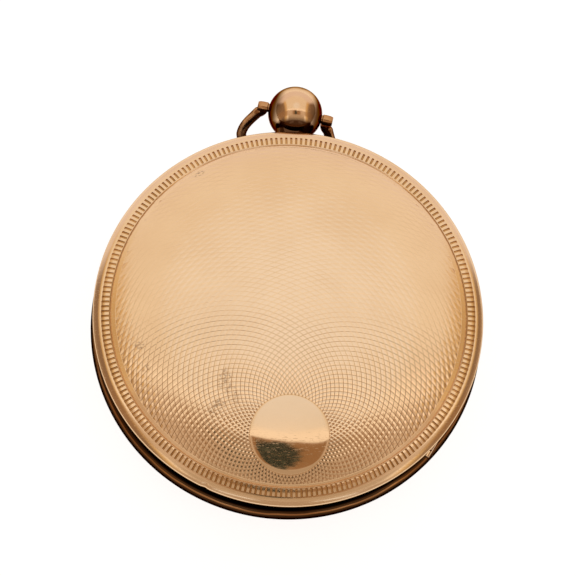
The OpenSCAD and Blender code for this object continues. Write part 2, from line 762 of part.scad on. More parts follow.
module barrel_bridge_screws() {
    color(blued) for (s = [-1, 1]) at_barrel_screw(s)
        translate([0, 0, top_plate_back + 0.6]) screw(0.8, 0.3, 0.33, 1.05);
}

// The drum of the mainspring
module barrel() {
    color(brass) at_xy(barrel_xy, barrel_z) difference() {
        cylinder(r = barrel_r, h = barrel_h - 0.4, $fn = 96);
        translate([0, 0, 0.4]) cylinder(r = barrel_r - 0.5, h = barrel_h, $fn = 96);
        translate([0, 0, -1]) cylinder(r = 1 + pivot_gap, h = 3);
    }
}

module barrel_cover() {
    color(brass) at_xy(barrel_xy, barrel_z + barrel_h - 0.4) difference() {
        cylinder(r = barrel_r, h = 0.4, $fn = 96);
        translate([0, 0, -1]) cylinder(r = 1 + pivot_gap, h = 3);
    }
}

module barrel_arbor() {
    color(steel) at_xy(barrel_xy) difference() {
        union() {
            translate([0, 0, setup_z - 0.15]) cylinder(r = 0.5, h = 1.5);
            translate([0, 0, pillar_plate_front]) cylinder(r = 0.78, h = pillar_plate_t + 0.12);
            translate([0, 0, barrel_z]) cylinder(r = 1, h = barrel_h);
            translate([0, 0, barrel_z]) cylinder(r = 0.5, h = top_plate_back + 0.6 - barrel_z);
        }
        translate([0, 0, setup_z - 0.65]) rotate([0, 0, barrel_angle])
            translate([0.42, -1, 0]) cube([1, 2, 0.5 + setup_t]);
    }
}

module mainspring() {
    color(steel) at_xy(barrel_xy, barrel_z + 0.55)
        spiral_strip("mainspring", 1.25, 1.05, mainspring_turns, 0.3, barrel_h - 1.1);
}

// The set-up ratchet under the dial, on the barrel arbor
module setup_ratchet() {
    step = 360 / setup_teeth;
    color(steel) at_xy(barrel_xy, setup_z) linear_extrude(setup_t) difference() {
        polygon([for (i = [0:setup_teeth - 1]) each [
            setup_r * [cos(step * i), sin(step * i)],
            (setup_r - 0.35) * [cos(step * (i + 0.12)), sin(step * (i + 0.12))]
        ]]);
        circle(r = 0.5);
    }
}

module setup_click() {
    color(steel) at_xy(barrel_xy) at_polar(click_d, click_angle, setup_z) difference() {
        union() {
            cylinder(r = 0.9, h = setup_t);
            linear_extrude(setup_t)
                polygon([[0.4, 0.8], [-0.7, -0.2], [-1.6, 1.2], [-1.65, 1.6]]);
        }
        translate([0, 0, -1]) cylinder(r = 0.35, h = 3);
    }
}

module click_screw() {
    color(blued) at_xy(barrel_xy) at_polar(click_d, click_angle, setup_z)
        mirror([0, 0, 1]) screw(0.65, 0.25, 0.33, pillar_plate_front - setup_z);
}

// The fusee: a hollow-sided cone with a groove for the chain
module fusee_cone() {
    groove = chain_pitch * 0.16;
    color(brass) at_xy(fusee_xy, fusee_z) difference() {
        rotate_extrude() polygon(concat(
            [[0, 0], [fusee_big_r + 0.35, 0], [fusee_big_r + 0.35, 0.12]],
            [for (i = [0:fusee_turns - 1]) let (t = (i + 0.5) / fusee_turns, z = fusee_h * t)
                each [
                    [fusee_r(t) + 0.12, max(0.14, z - chain_pitch / 2 + 0.03)],
                    [fusee_r(t), z - groove], [fusee_r(t), z + groove]
                ]],
            [[fusee_small_r, fusee_h], [0, fusee_h]]
        ));
        translate([0, 0, -1]) cylinder(r = fusee_axis_r, h = fusee_h + 2);
    }
}

module great_wheel() {
    color(brass) at_xy(fusee_xy, great_z) difference() {
        rotate([0, 0, fusee_angle + 180]) linear_extrude(great_t)
            gear_2d(great_teeth, great_module);
        translate([0, 0, -1]) cylinder(r = fusee_axis_r, h = 3);
    }
}

// The fusee's arbor, ending in the square for the key
module fusee_arbor() {
    color(steel) at_xy(fusee_xy) {
        translate([0, 0, pillar_plate_front])
            cylinder(r = 0.4, h = great_z - pillar_plate_front + tiny);
        translate([0, 0, great_z])
            cylinder(r = fusee_axis_r, h = fusee_z + fusee_h - great_z);
        translate([0, 0, fusee_z + fusee_h])
            cylinder(r = fusee_axis_r + 0.1, h = top_plate_back + 0.05 - fusee_z - fusee_h);
        translate([0, 0, top_plate_back + 0.05]) intersection() {
            translate([-square_w / 2, -square_w / 2, 0]) cube([square_w, square_w, 1.35]);
            cylinder(r = square_w * 0.62, h = 1.35);
        }
    }
}

// The chain: one flat band from the barrel to the fusee, each point from its angle
function chain_on_barrel(u) = let (a = chain_tangent + 360 * u,
        r = barrel_r + chain_gap + chain_t / 2)
    [barrel_xy[0] + r * cos(a), barrel_xy[1] + r * sin(a), chain_z - chain_pitch * 1.35 * -u];
function chain_on_fusee(u) = let (a = chain_tangent + 360 * u,
        t = (chain_z - fusee_z - chain_pitch * u) / fusee_h,
        r = fusee_r(t - 0.5 / fusee_turns) + 0.12 + chain_gap + chain_t / 2)
    [fusee_xy[0] + r * cos(a), fusee_xy[1] + r * sin(a), chain_z - chain_pitch * u];
chain_line = barrel_xy - fusee_xy;
chain_start_r = fusee_r((chain_z - fusee_z) / fusee_h - 0.5 / fusee_turns) + 0.12 + chain_gap
    + chain_t / 2;
chain_tangent = atan2(chain_line[1], chain_line[0]) + 90
    + asin((barrel_r + chain_gap + chain_t / 2 - chain_start_r) / norm(chain_line));
chain_barrel_turns = 1.5;
chain_fusee_turns = 1.5;
chain_path = concat(
    [for (i = [chain_barrel_turns * chain_steps:-1:0]) chain_on_barrel(-i / chain_steps)],
    [for (i = [0:chain_fusee_turns * chain_steps]) chain_on_fusee(i / chain_steps)]
);
module fusee_chain() {
    n = len(chain_path);
    side = function (i) let (d = chain_path[min(n - 1, i + 1)] - chain_path[max(0, i - 1)])
        [d[1], -d[0], 0] / norm([d[1], -d[0]]);
    points = [for (i = [0:n - 1]) each [
        for (c = [[-1, -1], [1, -1], [1, 1], [-1, 1]])
            chain_path[i] + side(i) * c[0] * chain_t / 2 + [0, 0, c[1] * chain_h / 2]
    ]];
    faces = concat(
        [[0, 1, 2], [0, 2, 3]],
        [for (i = [0:n - 2], k = [0:3]) let (a = 4 * i + k, b = 4 * i + (k + 1) % 4)
            each [[a, a + 4, b + 4], [a, b + 4, b]]],
        [[4 * n - 4, 4 * n - 2, 4 * n - 3], [4 * n - 4, 4 * n - 1, 4 * n - 2]]
    );
    color(steel) polyhedron(points, faces);
}

// An arbor with a pivot at each end and one set of leaves
module train_arbor(leaves, m, from, to, phase, r = arbor_r) {
    translate([0, 0, pillar_plate_front])
        cylinder(r = small_pivot_r, h = top_plate_back - pillar_plate_front);
    translate([0, 0, pillar_plate_back + 0.1])
        cylinder(r = r, h = pillar_h - 0.2);
    translate([0, 0, from]) rotate([0, 0, phase]) linear_extrude(to - from)
        pinion_2d(leaves, m);
}

module centre_arbor() {
    color(steel) union() {
        translate([0, 0, minute_hand_z - 0.2])
            cylinder(r = centre_post_r, h = pillar_plate_back + 0.1 + tiny - minute_hand_z + 0.2);
        translate([0, 0, pillar_plate_back + 0.1])
            cylinder(r = 0.55, h = centre_wheel_z + centre_wheel_t - pillar_plate_back - 0.1);
        translate([0, 0, centre_wheel_z])
            cylinder(r = small_pivot_r, h = top_plate_back - centre_wheel_z);
        translate([0, 0, pillar_plate_back + 0.1])
            rotate([0, 0, fusee_angle + 180 / centre_leaves])
            linear_extrude(great_t + 0.2) pinion_2d(centre_leaves, great_module);
    }
}

module centre_wheel() {
    color(brass) translate([0, 0, centre_wheel_z]) rotate([0, 0, third_angle])
        crossed_wheel(centre_teeth, centre_module, centre_wheel_t, 1.2, 0.7, 4, 0.55);
}

module third_arbor() {
    color(steel) at_xy(third_xy) train_arbor(small_leaves, centre_module, centre_wheel_z - 0.12,
        centre_wheel_z + centre_wheel_t + 0.12, third_angle + 180 + 180 / small_leaves);
}

module third_wheel() {
    color(brass) at_xy(third_xy, third_wheel_z) rotate([0, 0, contrate_angle])
        crossed_wheel(third_teeth, third_module, third_wheel_t, 0.9, 0.6, 4, arbor_r);
}

module contrate_arbor() {
    color(steel) at_xy(contrate_xy) train_arbor(small_leaves, third_module,
        third_wheel_z - 0.1, third_wheel_z + third_wheel_t + 0.1,
        contrate_angle + 180 + 180 / small_leaves);
}

// The contrate wheel, whose teeth stand up from its rim
module contrate_wheel() {
    tooth_h = 2.1 * crown_module;
    tooth_top = crown_axis_z - crown_pinion_r + 0.6 * crown_module;
    rim_z = tooth_top - tooth_h - 0.4;
    rim_w = 0.5;
    step = 360 / third_teeth;
    half = contrate_r * step * PI / 180 * 0.2;
    color(brass) at_xy(contrate_xy) {
        translate([0, 0, rim_z]) difference() {
            cylinder(r = contrate_r + rim_w / 2, h = 0.4);
            translate([0, 0, 0.2]) cylinder(r = contrate_r - rim_w / 2, h = 1);
            for (i = [0:3]) rotate([0, 0, 90 * (i + 0.5)])
                crossing(contrate_r - rim_w / 2 - 0.2, 0.8, 4, 1);
            translate([0, 0, -1]) cylinder(r = arbor_r, h = 3);
        }
        for (i = [0:third_teeth - 1]) rotate([0, 0, crown_angle + step * i])
            translate([contrate_r - rim_w * 0.44, 0, tooth_top - tooth_h])
            rotate([90, 0, 90]) linear_extrude(rim_w * 0.88) polygon([
                [-half, -tiny], [half, -tiny], [half * 0.45, tooth_h], [-half * 0.45, tooth_h]
            ]);
    }
}

// The crown wheel's own frame: its axis is +Z, from the contrate arbor to the verge
module on_crown_axis(s = 0) {
    at_xy(contrate_xy, crown_axis_z) rotate([0, 0, crown_angle]) rotate([0, 90, 0])
        translate([0, 0, s]) children();
}

module crown_arbor() {
    color(steel) on_crown_axis() {
        translate([0, 0, crown_back]) cylinder(r = 0.12, h = crown_tip_s - 0.35 - crown_back);
        translate([0, 0, crown_back + 0.5])
            cylinder(r = 0.25, h = crown_tip_s - 1.2 - crown_back);
        translate([0, 0, contrate_r - 0.4]) rotate([0, 0, 180 / small_leaves])
            linear_extrude(0.8) pinion_2d(small_leaves, crown_module);
    }
}

// The crown wheel: a shallow cup with saw teeth that face the verge
module crown_wheel() {
    depth = crown_tip_s - crown_web_s;
    color(brass) on_crown_axis(crown_web_s) difference() {
        cylinder(r = crown_r, h = depth);
        translate([0, 0, 0.3]) cylinder(r = crown_r - 0.22, h = depth);
        translate([0, 0, -1]) cylinder(r = 0.25, h = 3);
        for (i = [0:crown_teeth - 1]) rotate([0, 0, 360 / crown_teeth * i])
            translate([crown_r - 0.5, 0, 0]) rotate([90, 0, 90]) linear_extrude(1)
            polygon([[-0.3, depth - 0.75], [0.16, depth - 0.75], [0.36, depth + 0.1],
                     [-0.34, depth + 0.1]]);
    }
}

// The potence under the top plate, which holds the verge's foot and the crown wheel's front
module potence() {
    leg_s = verge_s + 0.9;
    nose_s = crown_tip_s - 0.62;
    color(brass) at_xy(contrate_xy) rotate([0, 0, crown_angle]) difference() {
        union() {
            translate([leg_s, -1.3, pillar_plate_back + 0.07])
                cube([1.4, 2.6, pillar_h - 0.07]);
            translate([verge_s - 0.45, -0.5, pillar_plate_back + 0.07])
                cube([leg_s - verge_s + 0.5, 1, potence_foot_t]);
            translate([nose_s, 0.6, crown_axis_z - 0.35])
                cube([leg_s - nose_s + 0.1, 0.5, 0.7]);
            translate([nose_s, -0.35, crown_axis_z - 0.35]) cube([0.32, 1.2, 0.7]);
        }
        translate([verge_s, 0, pillar_plate_back]) cylinder(r = 0.12 + pivot_gap, h = 0.4);
        translate([nose_s - 1, 0, crown_axis_z]) rotate([0, 90, 0])
            cylinder(r = 0.12 + pivot_gap, h = 2);
    }
}

module counter_potence() {
    color(brass) at_xy(contrate_xy) rotate([0, 0, crown_angle]) difference() {
        translate([crown_back - 0.25, -0.7, crown_axis_z - 0.35])
            cube([0.65, 1.4, top_plate_front - crown_axis_z + 0.35]);
        translate([crown_back - 1, 0, crown_axis_z]) rotate([0, 90, 0])
            cylinder(r = 0.12 + pivot_gap, h = 3);
    }
}

// The verge: a slim staff with two pallets set about 100 degrees apart
module verge_staff() {
    low = pillar_plate_back + 0.12;
    shoulder = pillar_plate_back + 0.1 + potence_foot_t;
    pallet_h = 0.4;
    color(steel) at_xy(verge_xy) {
        translate([0, 0, low]) cylinder(r = 0.12, h = bridge_z + bridge_t - low);
        translate([0, 0, shoulder]) cylinder(r = 0.24, h = balance_z + balance_t - shoulder);
        translate([0, 0, hairspring_z - 0.02]) cylinder(r = 0.7, h = hairspring_h + 0.04);
        for (s = [-1, 1])
            translate([0, 0, crown_axis_z + s * (crown_r - 0.45) - pallet_h / 2])
            rotate([0, 0, crown_angle + 180 + 50 * s]) translate([0, -0.1, 0])
            cube([pallet_len, 0.2, pallet_h]);
    }
}

// The balance wheel, a plain rim with three arms
module balance_wheel() {
    color(brass) at_xy(verge_xy, balance_z) difference() {
        cylinder(r = balance_r, h = balance_t, $fn = 96);
        for (i = [0:2]) rotate([0, 0, 120 * i])
            crossing(balance_r - balance_rim, 1.1, 3, 1);
        translate([0, 0, -1]) cylinder(r = 0.24, h = 3);
    }
}

module balance_spring() {
    color(blued) at_xy(verge_xy, hairspring_z) rotate([0, 0, stud_angle])
        spiral_strip("balance spring", hairspring_in_r, hairspring_pitch, hairspring_turns,
            hairspring_w, hairspring_h);
}

module spring_stud() {
    end_r = hairspring_in_r + hairspring_pitch * hairspring_turns + hairspring_w;
    color(steel) at_xy(verge_xy) at_polar(end_r, stud_angle, top_plate_back)
        rotate([0, 0, stud_angle]) translate([0, -0.3, 0]) cube([0.7, 0.6, 0.5]);
}

// The bridge over the balance: a pierced round plate on two feet
module balance_bridge() {
    rose_r = 4.3;
    color(brass) at_xy(verge_xy) rotate([0, 0, bridge_angle]) difference() {
        union() {
            translate([0, 0, bridge_z]) cylinder(r = rose_r, h = bridge_t);
            translate([-bridge_foot_d, -1.2, bridge_z]) cube([2 * bridge_foot_d, 2.4, bridge_t]);
            for (s = [-1, 1]) translate([s * bridge_foot_d, 0, top_plate_back])
                cylinder(r = bridge_foot_r, h = bridge_z + bridge_t - top_plate_back);
        }
        for (i = [0:7]) rotate([0, 0, 45 * i + 22.5]) translate([2.7, 0, bridge_z - 1])
            cylinder(r = 0.72, h = 3);
        translate([0, 0, bridge_z - 1]) cylinder(r = 0.12 + pivot_gap, h = 3);
        for (s = [-1, 1]) translate([s * bridge_foot_d, 0, top_plate_back - 1])
            cylinder(r = 0.4, h = 5);
    }
}

module bridge_screws() {
    color(blued) for (s = [-1, 1]) at_bridge_foot(s)
        translate([0, 0, bridge_z + bridge_t])
        screw(0.75, 0.25, 0.33, bridge_z + bridge_t - top_plate_back + 0.45);
}

// The steel end piece over the verge's pivot
module end_piece() {
    color(steel) at_xy(verge_xy, bridge_z + bridge_t) {
        cylinder(r = 1.15, h = 0.2);
        translate([0, 0, 0.2 - tiny]) cylinder(r1 = 0.75, r2 = 0.45, h = 0.12, $fn = 48);
    }
}

// A flat arc about the verge, as a sector of a ring
module ring_sector(in_r, out_r, from, to, t, n = 20) {
    linear_extrude(t) polygon(concat(arc(0, 0, out_r, from, to, n), arc(0, 0, in_r, to, from, n)));
}

// The regulator's rack, with teeth outside and an arm with two curb pins
module regulator_rack() {
    root_r = rack_r - 1.15 * rack_module;
    spring_r = hairspring_in_r + hairspring_pitch * (hairspring_turns
        - (stud_angle - curb_angle) / 360) + hairspring_w / 2;
    color(steel) at_xy(verge_xy, rack_z) union() {
        rotate([0, 0, regulator_angle]) linear_extrude(rack_t) gear_sector_2d(root_r);
        rotate([0, 0, curb_angle]) translate([spring_r - 0.55, -0.35, 0])
            cube([root_r - 0.4 - spring_r + 0.55, 0.7, 0.16]);
        rotate([0, 0, curb_angle]) for (s = [-1, 1])
            translate([spring_r + s * 0.27, 0, 0]) cylinder(r = 0.09, h = 0.42);
    }
}
module gear_sector_2d(root_r) {
    step = 360 / rack_teeth;
    polygon(concat([for (i = [-rack_teeth_before:rack_teeth_after]) each [
        for (p = [[-1.15, -0.46], [0.8, -0.16], [0.8, 0.16], [-1.15, 0.46]])
            let (a = step * (i + p[1] / 2))
            (rack_r + p[0] * rack_module) * [cos(a), sin(a)]
    ]], arc(0, 0, root_r, step * (rack_teeth_after + 1), rack_to - regulator_angle, 6),
        arc(0, 0, root_r - rack_w, rack_to - regulator_angle, rack_from - regulator_angle, 20)));
}

// The fixed slide that guides the rack along its inner edge
module rack_slide() {
    in_r = rack_r - 1.15 * rack_module - rack_w;
    color(brass) at_xy(verge_xy, top_plate_back) {
        ring_sector(in_r - 0.85, in_r - 0.05, regulator_angle - 38, regulator_angle + 32, 0.38);
        for (a = [[-38, -24], [22, 32]]) translate([0, 0, 0.36])
            ring_sector(in_r - 0.85, in_r + 0.5, regulator_angle + a[0], regulator_angle + a[1],
                0.2, 6);
    }
}

module regulator_disc() {
    color([0.80, 0.81, 0.82]) at_xy(regulator_xy, rack_z + rack_t + 0.1) difference() {
        cylinder(r = regulator_r, h = 0.3);
        translate([0, 0, -1]) cylinder(r = 0.5, h = 3);
    }
}

module regulator_arbor() {
    color(steel) at_xy(regulator_xy) {
        translate([0, 0, top_plate_back - 0.45]) cylinder(r = 0.4, h = 0.6);
        translate([0, 0, rack_z]) rotate([0, 0, regulator_angle + 180 + 180 / rack_leaves])
            linear_extrude(rack_t) pinion_2d(rack_leaves, rack_module);
        translate([0, 0, rack_z]) cylinder(r = 0.5, h = rack_t + 0.45);
        translate([-0.42, -0.42, rack_z + rack_t + 0.4]) cube([0.84, 0.84, 0.8]);
    }
}

case_band();
back_cover();
cover_hinge_pin();
bezel();
bezel_hinge_pin();
crystal();
pendant_foot();
pendant_ball();
bow_pin();
bow();
dial();
dial_foot_pins();
minute_hand();
hour_hand();
cannon_pinion();
minute_wheel();
hour_wheel();
pillar_plate();
pillars();
pillar_pins();
top_plate();
case_screws();
barrel_bridge();
barrel_bridge_screws();
barrel();
barrel_cover();
barrel_arbor();
mainspring();
setup_ratchet();
setup_click();
click_screw();
fusee_cone();
great_wheel();
fusee_arbor();
fusee_chain();
centre_arbor();
centre_wheel();
third_arbor();
third_wheel();
contrate_arbor();
contrate_wheel();
crown_arbor();
crown_wheel();
potence();
counter_potence();
verge_staff();
balance_wheel();
balance_spring();
spring_stud();
balance_bridge();
bridge_screws();
end_piece();
regulator_rack();
rack_slide();
regulator_disc();
regulator_arbor();
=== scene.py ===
"""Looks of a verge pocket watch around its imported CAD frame. Lengths are in millimetres."""
import json
import math

import bpy
import numpy as np
from mathutils import Matrix, Vector


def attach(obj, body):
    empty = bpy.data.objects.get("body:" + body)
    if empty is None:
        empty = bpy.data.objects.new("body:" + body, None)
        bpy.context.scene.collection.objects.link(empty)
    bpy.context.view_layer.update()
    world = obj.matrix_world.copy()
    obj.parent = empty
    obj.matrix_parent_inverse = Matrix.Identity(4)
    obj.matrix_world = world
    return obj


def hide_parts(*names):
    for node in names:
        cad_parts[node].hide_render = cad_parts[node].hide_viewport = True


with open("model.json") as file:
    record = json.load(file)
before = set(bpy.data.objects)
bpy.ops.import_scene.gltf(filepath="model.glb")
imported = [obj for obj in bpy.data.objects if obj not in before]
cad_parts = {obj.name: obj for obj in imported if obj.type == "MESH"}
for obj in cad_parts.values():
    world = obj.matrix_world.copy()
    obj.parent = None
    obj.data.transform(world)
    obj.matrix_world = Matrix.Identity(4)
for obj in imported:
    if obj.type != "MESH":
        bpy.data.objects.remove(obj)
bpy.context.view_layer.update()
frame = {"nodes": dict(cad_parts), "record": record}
nodes = frame["nodes"]
MM = 0.001

# The CAD's own figures. The case's axis is z, and its back is up.
CASE_R = 27.0
BAND_R = 25.6
BAND_BACK = 11.3
BAND_FRONT = 7.2
COVER_TOP = 16.2
COVER_WALL = 0.7
DOME_CURVE_R = 160.0
DOME_FLAT_R = 17.0
DOME_EDGE_R = 24.5
DOME_EDGE_DROP = 2.9
DOME_EDGE_K = ((DOME_EDGE_DROP - DOME_EDGE_R ** 2 / 2 / DOME_CURVE_R)
               / (DOME_EDGE_R - DOME_FLAT_R) ** 2)
LIP_R = 24.5
HINGE_ANGLE = math.radians(-30.5)
HINGE_AXIS = (-math.sin(HINGE_ANGLE), math.cos(HINGE_ANGLE), 0)
HINGE_R = 25.9
HINGE_LEN = 12.4
KNUCKLE_R = 0.55
MID_KNUCKLE = 4.0
FIT_GAP = 0.1
PIN_R = 0.25
PENDANT_Z = 9.25
BALL_REACH = 5.3
LEAN = math.radians(-12)
BOW_FOLD = math.radians(-118)
BOW_SKEW = math.radians(3.5)
BOW_HALF, BOW_WIDE_AT, BOW_LEN = 6.65, 6.1, 9.5
BOSS_IN, BOSS_OUT = 3.91, 5.41
BOW_PIN_R = 0.6

# The camera: the direction towards it, the picture's right, and the place it is aimed at,
# which lies up and to the left of the rim's middle as the picture shows it
VIEW = (-0.049, -0.286, 0.957)
PICTURE_RIGHT = (0.9985, 0, 0.051)
RIM_Z = 12.0
AIM_UP, AIM_LEFT = 3.907, 0.055
CAMERA_FAR = 450.0
SENSOR, FOCAL_LENGTH = 36, 203.74
CLIP_NEAR, CLIP_FAR = 50, 20000


def make_camera():
    view = Vector(VIEW).normalized()
    right = Vector(PICTURE_RIGHT)
    right = (right - right.dot(view) * view).normalized()
    up = view.cross(right)
    rim = Vector((0, 0, RIM_Z)) * MM
    aim = rim + (AIM_UP * up - AIM_LEFT * right) * MM
    data = bpy.data.cameras.new("camera")
    cam = bpy.data.objects.new("camera", data)
    bpy.context.scene.collection.objects.link(cam)
    cam.location = rim + view * (CAMERA_FAR * MM)
    back = (cam.location - aim).normalized()
    side = (right - right.dot(back) * back).normalized()
    basis = Matrix((side, back.cross(side), back)).transposed()
    cam.rotation_mode = "QUATERNION"
    cam.rotation_quaternion = basis.to_quaternion()
    data.sensor_width = SENSOR
    data.lens = FOCAL_LENGTH
    data.clip_start, data.clip_end = CLIP_NEAR * MM, CLIP_FAR * MM
    bpy.context.scene.camera = cam


class Nodes:
    """A node tree with short calls for what the materials and the world need."""

    def __init__(self, tree):
        self.tree = tree
        tree.nodes.clear()

    def add(self, kind, **values):
        node = self.tree.nodes.new(kind)
        for key, value in values.items():
            setattr(node, key, value)
        return node

    def link(self, a, b):
        self.tree.links.new(a, b)

    def value(self, socket, value):
        if isinstance(value, bpy.types.NodeSocket):
            self.link(value, socket)
        else:
            socket.default_value = value

    def math(self, op, *values, clamp=False):
        node = self.add("ShaderNodeMath", operation=op, use_clamp=clamp)
        for socket, value in zip(node.inputs, values):
            self.value(socket, value)
        return node.outputs[0]

    def plus(self, a, b):
        return self.math("ADD", a, b)

    def minus(self, a, b):
        return self.math("SUBTRACT", a, b)

    def times(self, a, b):
        return self.math("MULTIPLY", a, b)

    def most(self, a, b):
        return self.math("MAXIMUM", a, b)

    def square(self, a):
        return self.math("POWER", a, 2.0)

    def off(self, a, b):
        """How far a is from b, to either side."""
        return self.math("ABSOLUTE", self.minus(a, b))

    def ramp(self, x, lo, hi, to_lo=0.0, to_hi=1.0, smooth=True):
        node = self.add("ShaderNodeMapRange",
                        interpolation_type="SMOOTHSTEP" if smooth else "LINEAR")
        self.value(node.inputs["Value"], x)
        for name, v in (("From Min", lo), ("From Max", hi), ("To Min", to_lo), ("To Max", to_hi)):
            node.inputs[name].default_value = v
        return node.outputs["Result"]

    def ramp_mm(self, x, lo, hi, to_lo=0.0, to_hi=1.0):
        return self.ramp(x, lo * MM, hi * MM, to_lo, to_hi)

    def mix(self, factor, a, b):
        node = self.add("ShaderNodeMix", data_type="RGBA")
        self.value(node.inputs["Factor"], factor)
        for name, v in (("A", a), ("B", b)):
            socket = next(s for s in node.inputs if s.name == name and s.type == "RGBA")
            self.value(socket, v if isinstance(v, bpy.types.NodeSocket) else (*v, 1.0))
        return next(s for s in node.outputs if s.type == "RGBA")

    def coord(self, name):
        return self.add("ShaderNodeTexCoord").outputs[name]

    def split(self, vector):
        node = self.add("ShaderNodeSeparateXYZ")
        self.link(vector, node.inputs[0])
        return node.outputs

    def place(self, scale=(1, 1, 1), turn=0.0):
        mapping = self.add("ShaderNodeMapping")
        mapping.inputs["Scale"].default_value = scale
        mapping.inputs["Rotation"].default_value = (0, 0, turn)
        self.link(self.coord("Object"), mapping.inputs["Vector"])
        return mapping.outputs["Vector"]

    def noise(self, scale, detail=3.0, rough=0.5, vector=None):
        node = self.add("ShaderNodeTexNoise")
        node.inputs["Scale"].default_value = scale
        node.inputs["Detail"].default_value = detail
        node.inputs["Roughness"].default_value = rough
        self.link(vector or self.place(), node.inputs["Vector"])
        return node.outputs["Fac"]

    def bump(self, height, strength, distance):
        node = self.add("ShaderNodeBump")
        node.inputs["Strength"].default_value = strength
        node.inputs["Distance"].default_value = distance * MM
        self.link(height, node.inputs["Height"])
        return node.outputs["Normal"]


def empty_material(name):
    """A material, its nodes and the socket of its surface."""
    mat = bpy.data.materials.new(name)
    mat.use_nodes = True
    n = Nodes(mat.node_tree)
    return mat, n, n.add("ShaderNodeOutputMaterial").inputs["Surface"]


def new_material(name):
    mat, n, surface = empty_material(name)
    bsdf = n.add("ShaderNodeBsdfPrincipled")
    n.link(bsdf.outputs[0], surface)
    return mat, n, bsdf


HAIRLINE_STRETCH, HAIRLINE_EDGE = 22, 0.035
SMUDGE_EDGE, SMUDGE_SPECKS = (1.3, 0.2), (0.47, 0.60)
SMUDGE_BROWN, SMUDGE_MOST = (0.20, 0.12, 0.07), 0.62


def scratches(n, scale, turn, thin):
    """Fine straight hairlines along one direction, 1 on a line and 0 between lines."""
    lines = n.noise(scale, 2.0, 0.6, n.place((1, HAIRLINE_STRETCH, 1), turn))
    return n.ramp(lines, thin, thin + HAIRLINE_EDGE)


def patches(n, places):
    """Small smudges of rough edge at places of (x, y, half length, half width, turn)."""
    x, y, _ = n.split(n.coord("Object"))
    total = 0.0
    for px, py, long, wide, turn in places:
        c, s = math.cos(turn), math.sin(turn)
        dx, dy = n.minus(x, px * MM), n.minus(y, py * MM)
        a = n.plus(n.times(dx, c / long / MM), n.times(dy, s / long / MM))
        b = n.minus(n.times(dy, c / wide / MM), n.times(dx, s / wide / MM))
        far = n.plus(n.times(a, a), n.times(b, b))
        total = n.most(total, n.ramp(far, *SMUDGE_EDGE))
    specks = n.noise(2200, 3.0, 0.7, n.place((1, 1.6, 1), 0.4))
    return n.times(total, n.ramp(specks, *SMUDGE_SPECKS))


def side_painted_shade(n):
    """1 on a piece's sides, 0 on its faces up and down: where shade is painted, as a dark
    reflection on the sides.
    """
    up = n.math("ABSOLUTE", n.split(n.coord("Normal"))[2])
    up = n.plus(up, n.ramp(n.noise(700, 3.0, 0.6), 0.25, 0.75, -0.1, 0.1))
    return n.ramp(up, 0.70, 0.34)


def from_axis(n):
    """The object's own x, y and z, and the distance from the case's axis."""
    x, y, z = n.split(n.coord("Object"))
    r = n.math("SQRT", n.plus(n.times(x, x), n.times(y, y)))
    return x, y, z, r


# Where each kind of painted shade starts and where it is full, in mm
BAND_SIDE_R = (25.0, 25.2)
UNDER_RIM_Z, UNDER_RIM_R = (12.15, 11.90), (26.3, 26.5)
LOW_FIELD_Y = (-3, -15)
PENDANT_NECK_R, BOW_ENDS = (29.2, 28.5), (1.7, 3.1)
BEZEL_SIDE_Z = (3.9, 4.6)
BEZEL_WAVER = 0.04


def band_painted_shade(n):
    """Painted shade on the band's outside, none inside the case."""
    return n.ramp_mm(from_axis(n)[3], *BAND_SIDE_R)


def rim_painted_shade(n):
    """Painted shade under the edge of the cover's rim."""
    _, _, z, r = from_axis(n)
    return n.times(n.ramp_mm(z, *UNDER_RIM_Z), n.ramp_mm(r, *UNDER_RIM_R))


def cut_painted_shade(n):
    """Painted shade in the engraved lines, low on the cover only."""
    return n.ramp_mm(n.split(n.place())[1], *LOW_FIELD_Y, 0.0, 0.68)


def pendant_painted_shade(n):
    """Painted shade on the sides, and more round the pendant's neck and the bow's two ends."""
    x, y, _, r = from_axis(n)
    across = n.plus(n.times(x, math.cos(LEAN)), n.times(y, math.sin(LEAN)))
    across = n.off(across, BAND_R * MM * math.sin(LEAN))
    near = n.most(n.ramp_mm(r, *PENDANT_NECK_R), n.ramp_mm(across, *BOW_ENDS))
    return n.most(side_painted_shade(n), near)


def bezel_painted_shade(n):
    """Painted shade over the bezel's back and side, but for one line left bright as a painted
    highlight.
    """
    waver = n.ramp(n.noise(160, 3.0), 0.3, 0.7, -BEZEL_WAVER * MM, BEZEL_WAVER * MM)
    z = n.plus(from_axis(n)[2], waver)

    def painted_highlight(start, full, fades, end, most):
        return n.times(n.ramp_mm(z, start, full, 0.0, most), n.ramp_mm(z, end, fades))

    # a thin painted highlight line, and a faint warm band round it, both taken out of the painted
    # shade
    line = painted_highlight(6.68, 6.76, 6.84, 6.92, 0.55)
    warm = painted_highlight(6.4, 6.8, 6.98, 7.12, 0.08)
    painted_shade = n.ramp_mm(z, *BEZEL_SIDE_Z)
    return n.math("SUBTRACT", painted_shade, n.most(line, warm), clamp=True)


